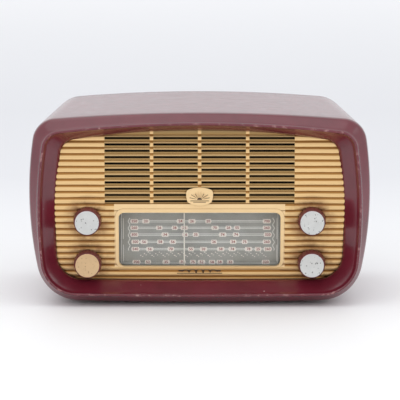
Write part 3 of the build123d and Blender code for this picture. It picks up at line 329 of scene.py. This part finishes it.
def spun_metal(name, base, pit, rough=0.28):
    """Spun disc: fine turning rings, a few pits, cloudy tarnish."""
    material, tree, shader = new_material(name)
    where = place(tree)
    cloud = noise(tree, where, 130.0, 4.0, 0.6)
    pits = node(tree, "ShaderNodeTexVoronoi", scale=430.0)
    tree.links.new(where, pits.inputs["Vector"])
    spot = ramp(tree, pits.outputs["Distance"], [(0.2, 1.0), (0.32, 0.0)])
    some = ramp(tree, noise(tree, where, 190.0, 2.0), [(0.5, 0.0), (0.58, 1.0)])
    pitted = mix(tree, 1.0, spot, some, "MULTIPLY")
    colour = ramp(tree, cloud, [(0.3, base), (0.7, tuple(min(1.0, v * 1.12) for v in base))])
    colour = mix(tree, pitted, colour, pit)
    tree.links.new(colour, shader.inputs["Base Color"])
    tree.links.new(ramp(tree, cloud, [(0.3, rough), (0.7, rough + 0.14)]), shader.inputs["Roughness"])
    bump(tree, shader, noise(tree, where, 900.0, 3.0), 0.15, 0.0001)
    shader.inputs["Metallic"].default_value = 1.0
    shader.inputs["Anisotropic"].default_value = 0.75
    tangent = node(tree, "ShaderNodeTangent", direction_type="RADIAL", axis="Y")
    tree.links.new(tangent.outputs["Tangent"], shader.inputs["Tangent"])
    return material


def clear_plastic():
    """A thin clear window with a little haze."""
    material, tree, shader = new_material("clear_window")
    haze = noise(tree, place(tree), 60.0, 4.0)
    tree.links.new(ramp(tree, haze, [(0.4, 0.01), (0.7, 0.05)]), shader.inputs["Roughness"])
    tree.links.new(ramp(tree, haze, [(0.4, (0.97, 0.97, 0.96)), (0.7, (0.93, 0.93, 0.91))]),
                   shader.inputs["Base Color"])
    shader.inputs["Transmission Weight"].default_value = 1.0
    shader.inputs["IOR"].default_value = 1.12
    return material


def woven(name, dark, light):
    """Plain weave of 0.7 mm pitch, from two crossed waves."""
    material, tree, shader = new_material(name)
    where = place(tree)
    waves = []
    for direction in ("X", "Z"):
        wave = node(tree, "ShaderNodeTexWave", bands_direction=direction, scale=0.314 / 0.0007, distortion=0.6)
        tree.links.new(where, wave.inputs["Vector"])
        waves.append(wave.outputs["Fac"])
    weave = mix(tree, 0.5, waves[0], waves[1], "MULTIPLY")
    tree.links.new(ramp(tree, weave, [(0.2, dark), (0.9, light)]), shader.inputs["Base Color"])
    tree.links.new(ramp(tree, weave, [(0.0, 0.95), (1.0, 0.8)]), shader.inputs["Roughness"])
    bump(tree, shader, weave, 0.5, 0.0003)
    return material


def valve_glass():
    """Clear bulb glass, silvered by the getter at the top."""
    material, tree, shader = new_material("valve_glass")
    where = place(tree)
    height = axes(tree)[2]
    silver = ramp(tree, height, [(0.097, 0.0), (0.104, 1.0)])
    cloud = ramp(tree, noise(tree, where, 120.0), [(0.4, (0.75, 0.77, 0.77)), (0.6, (0.9, 0.92, 0.92))])
    tree.links.new(cloud, shader.inputs["Base Color"])
    tree.links.new(silver, shader.inputs["Metallic"])
    tree.links.new(ramp(tree, noise(tree, where, 80.0), [(0.4, 0.04), (0.7, 0.14)]), shader.inputs["Roughness"])
    shader.inputs["Transmission Weight"].default_value = 0.85
    return material


MATERIALS = {
    "bakelite": bakelite(),
    "gold_moulding": gold_lacquer(),
    "knob_bakelite": bakelite("knob_bakelite", (0.4, 0.55), 0.08),
    "silver_cap": spun_metal("silver_cap", (0.6, 0.6, 0.585), (0.13, 0.13, 0.12)),
    "brass_cap": spun_metal("brass_cap", (0.64, 0.45, 0.26), (0.3, 0.16, 0.09), 0.36),
    "clear_window": clear_plastic(),
    "dial_print": wash("dial_print", (0.385, 0.385, 0.365), (0.465, 0.465, 0.44), (0.4, 0.55), 40.0, grain=0.05),
    "pointer_enamel": wash("pointer_enamel", (0.95, 0.91, 0.84), (1.0, 0.97, 0.9), (0.35, 0.5)),
    # edge= gives a painted highlight on convex edges, here and for the magnet and laminations
    "plated_steel": wash("plated_steel", (0.42, 0.41, 0.37), (0.56, 0.55, 0.5), (0.35, 0.55), metallic=0.9,
                         edge=(0.7, 0.68, 0.62)),
    "bright_steel": wash("bright_steel", (0.55, 0.55, 0.56), (0.66, 0.66, 0.67), (0.22, 0.34), metallic=1.0,
                         stretch=(1.0, 0.1, 1.0)),
    "chassis_steel": wash("chassis_steel", (0.34, 0.34, 0.31), (0.46, 0.46, 0.43), (0.4, 0.6), metallic=0.8),
    "hardboard": wash("hardboard", (0.13, 0.07, 0.035), (0.22, 0.125, 0.065), (0.65, 0.85), 180.0, fine=1400.0,
                      grain=0.5, stretch=(1.0, 1.0, 2.5)),
    "cloth": woven("grille_cloth", (0.006, 0.004, 0.003), (0.03, 0.022, 0.016)),
    "cone_paper": wash("cone_paper", (0.035, 0.03, 0.027), (0.06, 0.052, 0.045), (0.8, 0.95), 300.0, grain=0.5),
    "magnet": wash("magnet", (0.05, 0.05, 0.055), (0.1, 0.1, 0.105), (0.45, 0.6), metallic=0.3,
                   edge=(0.3, 0.3, 0.3)),
    "vane": wash("vane", (0.66, 0.66, 0.65), (0.76, 0.76, 0.75), (0.3, 0.45), metallic=1.0),
    "can": wash("can", (0.58, 0.58, 0.58), (0.7, 0.7, 0.7), (0.3, 0.45), metallic=1.0, stretch=(1.0, 1.0, 0.15)),
    "brown_plastic": wash("brown_plastic", (0.09, 0.04, 0.02), (0.14, 0.07, 0.035), (0.4, 0.6), 220.0),
    "laminations": wash("laminations", (0.05, 0.045, 0.045), (0.11, 0.1, 0.095), (0.4, 0.65), 400.0,
                        metallic=0.4, stretch=(1.0, 12.0, 1.0), edge=(0.25, 0.22, 0.2)),
    "rubber": wash("rubber", (0.018, 0.018, 0.018), (0.034, 0.033, 0.032), (0.75, 0.9), 200.0, grain=0.4),
    "cord": wash("cord", (0.42, 0.37, 0.26), (0.62, 0.56, 0.42), (0.75, 0.9), 900.0, grain=0.6),
    "valve_glass": valve_glass(),
    "parts_wax": wash("parts_wax", (0.26, 0.15, 0.06), (0.42, 0.27, 0.12), (0.4, 0.6), 150.0),
}
MATERIALS["lamp_glass"] = MATERIALS["valve_glass"]

for part in frame["record"]["subparts"]:
    shown = nodes[part["node"]]
    shown.data.materials.clear()
    shown.data.materials.append(MATERIALS[part["material_slot"]])


# ---------------------------------------------------------------- mesh helpers
def add_mesh(name, bm, slot_name, material=None, body="case", smooth=True):
    """Turn a bmesh in mm into a piece that rides on a body, with a slot's or its own material."""
    bmesh.ops.scale(bm, vec=(MM, MM, MM), verts=bm.verts)
    bmesh.ops.recalc_face_normals(bm, faces=bm.faces)
    mesh = bpy.data.meshes.new(name)
    bm.to_mesh(mesh)
    bm.free()
    for face in mesh.polygons:
        face.use_smooth = smooth
    piece = bpy.data.objects.new(name, mesh)
    bpy.context.scene.collection.objects.link(piece)
    mesh.materials.append(material or MATERIALS[slot_name])
    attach(piece, body)
    return piece


def circles_meet(centre_a, radius_a, centre_b, radius_b):
    """The point of two circles' meeting that has the larger x."""
    span = centre_b - centre_a
    length = span.length
    along = (radius_a ** 2 - radius_b ** 2 + length ** 2) / (2 * length)
    height = math.sqrt(max(radius_a ** 2 - along ** 2, 0.0))
    foot = centre_a + span * (along / length)
    sideways = Vector((-span.y, span.x)) * (height / length)
    return max(foot + sideways, foot - sideways, key=lambda point: point.x)


def arc_points(centre, radius, start, end, count):
    """count points from start towards end, round centre, the short way, without the end."""
    first = math.atan2(start.y - centre.y, start.x - centre.x)
    last = math.atan2(end.y - centre.y, end.x - centre.x)
    turn = (last - first + math.pi) % (2 * math.pi) - math.pi
    angles = [first + turn * i / count for i in range(count)]
    return [centre + radius * Vector((math.cos(a), math.sin(a))) for a in angles]


def outline(shape, grow=0.0):
    """Points round a cabinet outline, clockwise from the middle of its top, as (x, z)."""
    top, bottom, wide, wide_z, top_r, side_r, bottom_r, upper_r, lower_r = shape
    top += grow
    bottom -= grow
    wide += grow
    upper_r += grow
    lower_r += grow
    over = Vector((0.0, top - top_r))
    side = Vector((wide - side_r, wide_z))
    under = Vector((0.0, bottom + bottom_r))
    upper = circles_meet(over, top_r - upper_r, side, side_r - upper_r)
    lower = circles_meet(under, bottom_r - lower_r, side, side_r - lower_r)

    def touch(centre, radius, towards):
        return centre + (towards - centre).normalized() * radius

    stations = [
        (over, top_r, Vector((0.0, top)), touch(over, top_r, upper)),
        (upper, upper_r, touch(over, top_r, upper), touch(side, side_r, upper)),
        (side, side_r, touch(side, side_r, upper), touch(side, side_r, lower)),
        (lower, lower_r, touch(side, side_r, lower), touch(under, bottom_r, lower)),
        (under, bottom_r, touch(under, bottom_r, lower), Vector((0.0, bottom))),
    ]
    right = []
    for (centre, radius, start, end), count in zip(stations, (26, 12, 26, 14, 22)):
        right += arc_points(centre, radius, start, end, count)
    right.append(Vector((0.0, bottom)))
    left = [Vector((-point.x, point.y)) for point in reversed(right[1:-1])]
    return right + left


def between(first, second, share):
    """Points a share of the way from one outline to another."""
    return [a.lerp(b, share) for a, b in zip(first, second)]


# ---------------------------------------------------------------- cabinet
def cabinet_rings():
    """(points, depth, wear) rings round the cabinet's wall, from the back edge round and back."""
    crease = outline(CREASE)
    tail = outline(TAIL)
    ridge = outline(RIDGE)
    throat = outline(THROAT)
    inner_tail = outline(TAIL, -WALL)
    inner_front = outline(CREASE, -WALL)
    full = BACK - FRONT
    rings = []
    # back edge, rounded by half a millimetre
    rings.append((between(tail, inner_tail, 0.5), full, 0.0))
    rings.append((between(tail, inner_tail, 0.12), full, 0.0))
    rings.append((tail, full - 0.6, 0.0))
    # sides and top, up to the shoulder
    for step in range(1, 12):
        share = step / 12
        depth = full + (CREASE_DEPTH + 4.0 - full) * share
        rings.append((between(tail, crease, share), depth, 0.0))
    # shoulder, where the sides turn into the bevel
    turned_in = SHOULDER / CREASE_DEPTH * 0.5
    for step in range(0, 7):
        share = step / 6
        depth = CREASE_DEPTH + SHOULDER - 2 * SHOULDER * share
        rings.append((between(crease, ridge, turned_in * share ** 2), depth, 0.35 * share * (1 - share)))
    # bevel
    for step in range(1, 6):
        share = turned_in + (1 - turned_in) * step / 6
        depth = (CREASE_DEPTH - SHOULDER) * (1 - step / 6) + 1.3 * step / 6
        rings.append((between(crease, ridge, share * 0.96), depth, 0.0))
    # ridge, a half circle in section
    for degrees in range(0, 181, 20):
        angle = math.radians(degrees)
        grown = outline(RIDGE, RIDGE_R * math.cos(angle))
        rings.append((grown, RIDGE_R * (1 - math.sin(angle)), math.sin(angle) ** 2))
    # splayed reveal and throat
    inside = outline(RIDGE, -RIDGE_R)
    for step in range(1, 7):
        share = step / 6
        rings.append((between(inside, throat, share), RIDGE_R + (THROAT_DEPTH - RIDGE_R) * share, 0.0))
    rings.append((throat, INSIDE_DEPTH, 0.0))
    # inside of the wall, back to the rear edge
    rings.append((inner_front, INSIDE_DEPTH, 0.0))
    for step in range(1, 4):
        share = step / 3
        depth = INSIDE_DEPTH + (full - 0.4 - INSIDE_DEPTH) * share
        rings.append((between(inner_front, inner_tail, share), depth, 0.0))
    return rings


def make_cabinet():
    """The moulded case as one closed shell, its ridge marked for wear."""
    rings = cabinet_rings()
    bm = bmesh.new()
    wear_layer = bm.verts.layers.float_color.new("wear")
    loops = []
    for points, depth, wear in rings:
        loop = [bm.verts.new((point.x, FRONT + depth, point.y)) for point in points]
        for vert in loop:
            vert[wear_layer] = (wear, wear, wear, 1.0)
        loops.append(loop)
    count = len(loops[0])
    for ring, following in zip(loops, loops[1:] + loops[:1]):
        for i in range(count):
            j = (i + 1) % count
            bm.faces.new((ring[i], ring[j], following[j], following[i]))
    cabinet = add_mesh("cabinet_shell", bm, "bakelite")
    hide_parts("cabinet")


make_cabinet()


# ---------------------------------------------------------------- knob caps
CAP_SIDES = 64


def make_cap(control, finish):
    """A spun cap, dished, whose rolled edge lies on the knob's face."""
    low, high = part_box(f"{control}_knob_cap")
    x = (low.x + high.x) / 2 / MM
    z = (low.z + high.z) / 2 / MM
    front = low.y / MM
    # radius, and depth behind the knob's face, from the middle out and round the back
    profile = [(0.0, 0.75), (3.0, 0.52), (7.0, 0.2), (10.9, -0.12), (11.6, -0.4), (12.15, -0.4), (12.5, -0.12),
               (12.5, -0.03), (10.95, -0.03), (10.95, 2.15), (0.0, 2.15)]
    bm = bmesh.new()
    rings = []
    angles = [2 * math.pi * i / CAP_SIDES for i in range(CAP_SIDES)]
    for radius, y in profile:
        if radius:
            ring = [bm.verts.new((x + radius * math.cos(a), front + y, z + radius * math.sin(a))) for a in angles]
        else:
            ring = [bm.verts.new((x, front + y, z))]
        rings.append(ring)
    for inner, outer in zip(rings, rings[1:]):
        for i in range(CAP_SIDES):
            j = (i + 1) % CAP_SIDES
            if len(inner) == 1:
                bm.faces.new((inner[0], outer[i], outer[j]))
            elif len(outer) == 1:
                bm.faces.new((inner[i], inner[j], outer[0]))
            else:
                bm.faces.new((inner[i], inner[j], outer[j], outer[i]))
    cap = add_mesh(f"{control}_spun_cap", bm, finish, body=f"{control}_control")
    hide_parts(f"{control}_knob_cap")


for control in ("tuning", "band", "volume"):
    make_cap(control, "silver_cap")
make_cap("tone", "brass_cap")


# ---------------------------------------------------------------- dial printing
PLATE_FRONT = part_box("dial_plate")[0].y / MM
PRINT_Y = PLATE_FRONT - 0.15
ROW_Z = (84.8, 77.8, 70.6, 62.9, 55.2, 41.4)
# places of the station marks along each row, mm from the middle
ROW_MARKS = (
    (-68, -56, -20, -8, 9, 70),
    (-68, -42, -26, -16, 16, 30, 39, 70),
    (-68, -36, -15, -4, 24, 38, 71),
    (-67, -58, -41, -28, 15, 35, 47, 70),
    (-67, -52, -30, -9, 4, 22, 34, 51, 61, 71),
    (-66, -54, -35, -18, -7, 2, 13, 21, 32, 69),
)


def ink(name, dark, light):
    """Printing ink with a little unevenness."""
    return wash(name, dark, light, (0.5, 0.6), 900.0, grain=0.05)


CREAM_INK = ink("cream_ink", (0.97, 0.9, 0.84), (1.0, 0.95, 0.9))
RED_INK = ink("red_ink", (0.34, 0.07, 0.065), (0.42, 0.11, 0.1))
PALE_INK = ink("pale_ink", (0.9, 0.9, 0.87), (0.97, 0.97, 0.94))
BROWN_INK = ink("brown_ink", (0.05, 0.022, 0.008), (0.09, 0.042, 0.016))


def tablet(bm, x, z, wide):
    """A six-sided lozenge of this width, 4.6 mm high, its side points 0.9 mm long."""
    half, tall, cut = wide / 2, 4.6 / 2, 0.9
    corners = [(-half, 0), (-half + cut, tall), (half - cut, tall), (half, 0),
               (half - cut, -tall), (-half + cut, -tall)]
    slab(bm, [(x + dx, z + dz) for dx, dz in corners], PRINT_Y, 0.1)


def slab(bm, corners, y, thick):
    """A prism with this outline in the XZ plane."""
    near = [bm.verts.new((x, y, z)) for x, z in corners]
    far = [bm.verts.new((x, y + thick, z)) for x, z in corners]
    bm.faces.new(near)
    bm.faces.new(list(reversed(far)))
    for i in range(len(corners)):
        j = (i + 1) % len(corners)
        bm.faces.new((near[j], near[i], far[i], far[j]))


def stroke(bm, points, width, y, thick=0.1):
    """A line of this width through points in the XZ plane."""
    for (x0, z0), (x1, z1) in zip(points, points[1:]):
        length = math.hypot(x1 - x0, z1 - z0)
        nx = -(z1 - z0) / length * width / 2
        nz = (x1 - x0) / length * width / 2
        slab(bm, [(x0 + nx, z0 + nz), (x1 + nx, z1 + nz), (x1 - nx, z1 - nz), (x0 - nx, z0 - nz)], y, thick)


def numeral(text, x, z):
    """A number standing in the plane of the plate."""
    curve = bpy.data.curves.new("numeral", "FONT")
    curve.body = text
    curve.size = 4.0 * MM
    curve.align_x = "CENTER"
    curve.align_y = "CENTER"
    curve.extrude = 0.03 * MM
    curve.resolution_u = 2
    curve.offset = 0.06 * MM
    made = bpy.data.objects.new("numeral", curve)
    made.rotation_euler = (math.pi / 2, 0, 0)
    made.location = (x * MM, (PRINT_Y - 0.08) * MM, z * MM)
    return made


def make_dial_print():
    """Station tablets with numbers, lines joining them, side braces and small ticks."""
    random.seed(7)
    tablets = bmesh.new()
    lines = bmesh.new()
    texts = []
    for row, (z, marks) in enumerate(zip(ROW_Z, ROW_MARKS)):
        for column, x in enumerate(marks):
            wide = random.choice((7.0, 7.6, 8.4))
            if column in (0, len(marks) - 1):
                wide = 9.0
            tablet(tablets, x, z, wide)
            digits = random.choice(("2", "3", "5", "7")) + random.choice("024568")
            if wide > 8.8:
                digits += "0"
            texts.append(numeral(digits, x, z))
        if row < 5:
            for dz in (-0.75, 0.75):
                stroke(lines, [(marks[0], z + dz), (marks[-1], z + dz)], 0.65, PRINT_Y + 0.04)
    # waved braces that close the rows at both ends, one wave to a row
    row_step = 7.4
    for side, x in ((-1, -73.5), (1, 77.0)):
        points = []
        for step in range(41):
            z = ROW_Z[0] + 3.5 - step * (ROW_Z[0] - ROW_Z[4] + 5.0) / 40
            points.append((x + side * 0.9 * math.cos((z - ROW_Z[0]) * 2 * math.pi / row_step), z))
        stroke(lines, points, 0.8, PRINT_Y + 0.04)
    # short ticks between the two lowest rows
    for step in range(34):
        x = -62.0 + step * 3.9
        z = 48.6 + (step % 3) * 1.7
        stroke(tablets, [(x, z), (x + random.uniform(0.9, 1.8), z)], 0.9, PRINT_Y + 0.04)
        stroke(tablets, [(x + 1.9, z - 1.3), (x + 3.0, z - 1.3)], 0.7, PRINT_Y + 0.04)
    faint = bmesh.new()
    for x in (-79.5, 80.5):
        stroke(faint, [(x, 88.0), (x, 66.0)], 0.7, PRINT_Y + 0.05)
        stroke(faint, [(x, 60.0), (x, 42.0)], 0.7, PRINT_Y + 0.05)
    # a thin line inside the opening's edge
    frame_line = [(-81.5, 41.5), (-81.5, 95.0), (81.5, 95.0), (81.5, 41.5), (-81.5, 41.5)]
    stroke(faint, [(x, z - 1.2) for x, z in frame_line], 0.6, PRINT_Y + 0.05)
    add_mesh("station_tablets", tablets, "dial_print", CREAM_INK, smooth=False)
    add_mesh("scale_lines", lines, "dial_print", PALE_INK, smooth=False)
    add_mesh("side_marks", faint, "dial_print", PALE_INK, smooth=False)
    join_texts("station_numbers", texts, RED_INK)


def join_texts(name, texts, material):
    """Turn text objects into one mesh piece."""
    bm = bmesh.new()
    for text in texts:
        bpy.context.scene.collection.objects.link(text)
    bpy.context.view_layer.update()
    graph = bpy.context.evaluated_depsgraph_get()
    for text in texts:
        mesh = bpy.data.meshes.new_from_object(text.evaluated_get(graph))
        mesh.transform(text.matrix_world)
        bm.from_mesh(mesh)
        bpy.data.meshes.remove(mesh)
        bpy.data.objects.remove(text)
    bmesh.ops.scale(bm, vec=(1 / MM, 1 / MM, 1 / MM), verts=bm.verts)
    add_mesh(name, bm, "dial_print", material, smooth=False)


make_dial_print()


# ---------------------------------------------------------------- badge, flourish and grille cloth
def panel_front(z, out):
    """Depth of a point at height z, out mm in front of the panel's grooves."""
    return PANEL_Y + PANEL_R - math.sqrt((PANEL_R + out) ** 2 - (z - PANEL_Z) ** 2)


def make_badge_inlay():
    """Brown enamel between the badge's rays: a rising sun over two ground lines."""
    bm = bmesh.new()
    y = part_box("badge")[0].y / MM + 0.42
    thick = 0.14
    low = 111.0
    half = math.radians(3.2)
    for i in range(8):
        angle = math.radians(14.0 + i * 21.7)
        inner, outer = 3.6, 9.6 if 2 < i < 5 else 10.6
        reach = min(outer, 7.4 / max(math.sin(angle), 0.3) if 1 < i < 6 else outer)
        wedge = [(angle - half, inner), (angle - half * 0.6, reach), (angle + half * 0.6, reach), (angle + half, inner)]
        slab(bm, [(math.cos(a) * r, low + math.sin(a) * r * 0.86) for a, r in wedge], y, thick)
    sun = [(2.6 * math.cos(math.radians(a)), low + 2.3 * math.sin(math.radians(a))) for a in range(0, 181, 15)]
    slab(bm, sun, y, thick)
    stroke(bm, [(-9.5, low - 1.1), (9.5, low - 1.1)], 0.7, y, thick)
    stroke(bm, [(-6.5, low - 2.5), (6.5, low - 2.5)], 0.6, y, thick)
    add_mesh("badge_inlay", bm, "gold_moulding", BROWN_INK, smooth=False)


def make_flourish():
    """A plain looped flourish under the dial, in brown enamel."""
    bm = bmesh.new()
    points = []
    for step in range(97):
        share = step / 96
        swell = math.sin(math.pi * share)
        x = -22.0 + 44.0 * share + 1.5 * math.sin(share * 12 * math.pi)
        z = 34.2 + swell * 1.9 * math.cos(share * 12 * math.pi)
        points.append((x, z))
    y = panel_front(36.5, RIB_OUT) - 0.25
    thick = 1.1
    stroke(bm, points, 1.3, y, thick)
    stroke(bm, [(-23.5, 31.6), (23.5, 31.6)], 0.6, y, thick)
    add_mesh("flourish", bm, "gold_moulding", BROWN_INK, smooth=False)


def make_cloth():
    """The grille cloth, stretched over the front of the baffle."""
    low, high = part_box("grille_cloth")
    bottom = high.z / MM - 75.8
    wide = high.x / MM
    bm = bmesh.new()
    columns, rows = 48, 20
    layers = []
    for y in (low.y / MM, low.y / MM + 0.3):
        layers.append([[bm.verts.new((-wide + 2 * wide * i / columns,
                                      y + 0.04 * math.sin(i * 1.9) * math.sin(j * 1.3),
                                      bottom + (high.z / MM - bottom) * j / rows))
                        for i in range(columns + 1)] for j in range(rows + 1)])
    front, back = layers
    for j in range(rows):
        for i in range(columns):
            bm.faces.new((front[j][i], front[j][i + 1], front[j + 1][i + 1], front[j + 1][i]))
            bm.faces.new((back[j][i], back[j + 1][i], back[j + 1][i + 1], back[j][i + 1]))
    rim = ([(0, i) for i in range(columns)] + [(j, columns) for j in range(rows)]
           + [(rows, i) for i in range(columns, 0, -1)] + [(j, 0) for j in range(rows, 0, -1)])
    for (j0, i0), (j1, i1) in zip(rim, rim[1:] + rim[:1]):
        bm.faces.new((front[j0][i0], back[j0][i0], back[j1][i1], front[j1][i1]))
    cloth = add_mesh("stretched_cloth", bm, "cloth")
    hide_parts("grille_cloth")


make_badge_inlay()
make_flourish()
make_cloth()


# ---------------------------------------------------------------- stage, light and camera
def floor_material():
    """Pale sweep, a little greyer some way behind the radio, as a paper backdrop shades."""
    material, tree, shader = new_material("floor_white")
    # from 1 m in front of the radio to 4 m behind it
    back = sums(tree, "MULTIPLY", sums(tree, "ADD", axes(tree)[1], 1.0), 0.2)
    near = (0.94, 0.94, 0.945)
    grey = (0.76, 0.765, 0.79)
    tree.links.new(ramp(tree, back, [(0.18, near), (0.34, grey), (0.46, grey), (0.8, (0.92, 0.92, 0.935))]),
                   shader.inputs["Base Color"])
    shader.inputs["Roughness"].default_value = 0.6
    return material


def make_floor():
    """A wide pale floor."""
    bm = bmesh.new()
    bmesh.ops.create_grid(bm, x_segments=1, y_segments=1, size=15.0)
    mesh = bpy.data.meshes.new("floor")
    bm.to_mesh(mesh)
    bm.free()
    floor = bpy.data.objects.new("floor", mesh)
    bpy.context.scene.collection.objects.link(floor)
    mesh.materials.append(floor_material())


def area_light(name, place_at, look_at, size, power):
    """A softbox."""
    light = bpy.data.lights.new(name, "AREA")
    light.shape = "RECTANGLE"
    light.size, light.size_y = size
    light.energy = power
    lamp = bpy.data.objects.new(name, light)
    lamp.location = place_at
    lamp.rotation_euler = (Vector(look_at) - Vector(place_at)).to_track_quat("-Z", "Y").to_euler()
    bpy.context.scene.collection.objects.link(lamp)


def make_light():
    """Bright tent all round, a softbox overhead, one to the left and a weak one to the right."""
    world = bpy.data.worlds.new("tent")
    bpy.context.scene.world = world
    world.use_nodes = True
    background = world.node_tree.nodes["Background"]
    background.inputs["Color"].default_value = (0.97, 0.98, 1.0, 1.0)
    background.inputs["Strength"].default_value = 1.0
    area_light("overhead", (-0.25, -0.25, 1.7), (0.0, 0.0, 0.1), (1.7, 1.7), 5.0)
    area_light("key", (-1.2, -1.3, 1.6), (0.0, 0.0, 0.1), (0.8, 0.8), 2.5)
    area_light("right_fill", (1.5, -0.7, 1.1), (0.15, 0.0, 0.0), (1.2, 0.8), 2.5)


def make_camera():
    """A long lens from 10.5 degrees above, straight in front."""
    far = 2.5
    elevation = math.radians(10.5)
    aim = Vector((0.0004, FRONT * MM, 0.1132))
    camera = bpy.data.cameras.new("camera")
    camera.sensor_width = 36.0
    camera.lens = 219.2
    camera.clip_end = 50.0
    holder = bpy.data.objects.new("camera", camera)
    holder.location = aim + Vector((0.0, -math.cos(elevation), math.sin(elevation))) * far
    holder.rotation_euler = (math.pi / 2 - elevation, 0.0, 0.0)
    bpy.context.scene.collection.objects.link(holder)
    bpy.context.scene.camera = holder


make_floor()
make_light()
make_camera()
bpy.context.scene.view_settings.view_transform = "Standard"
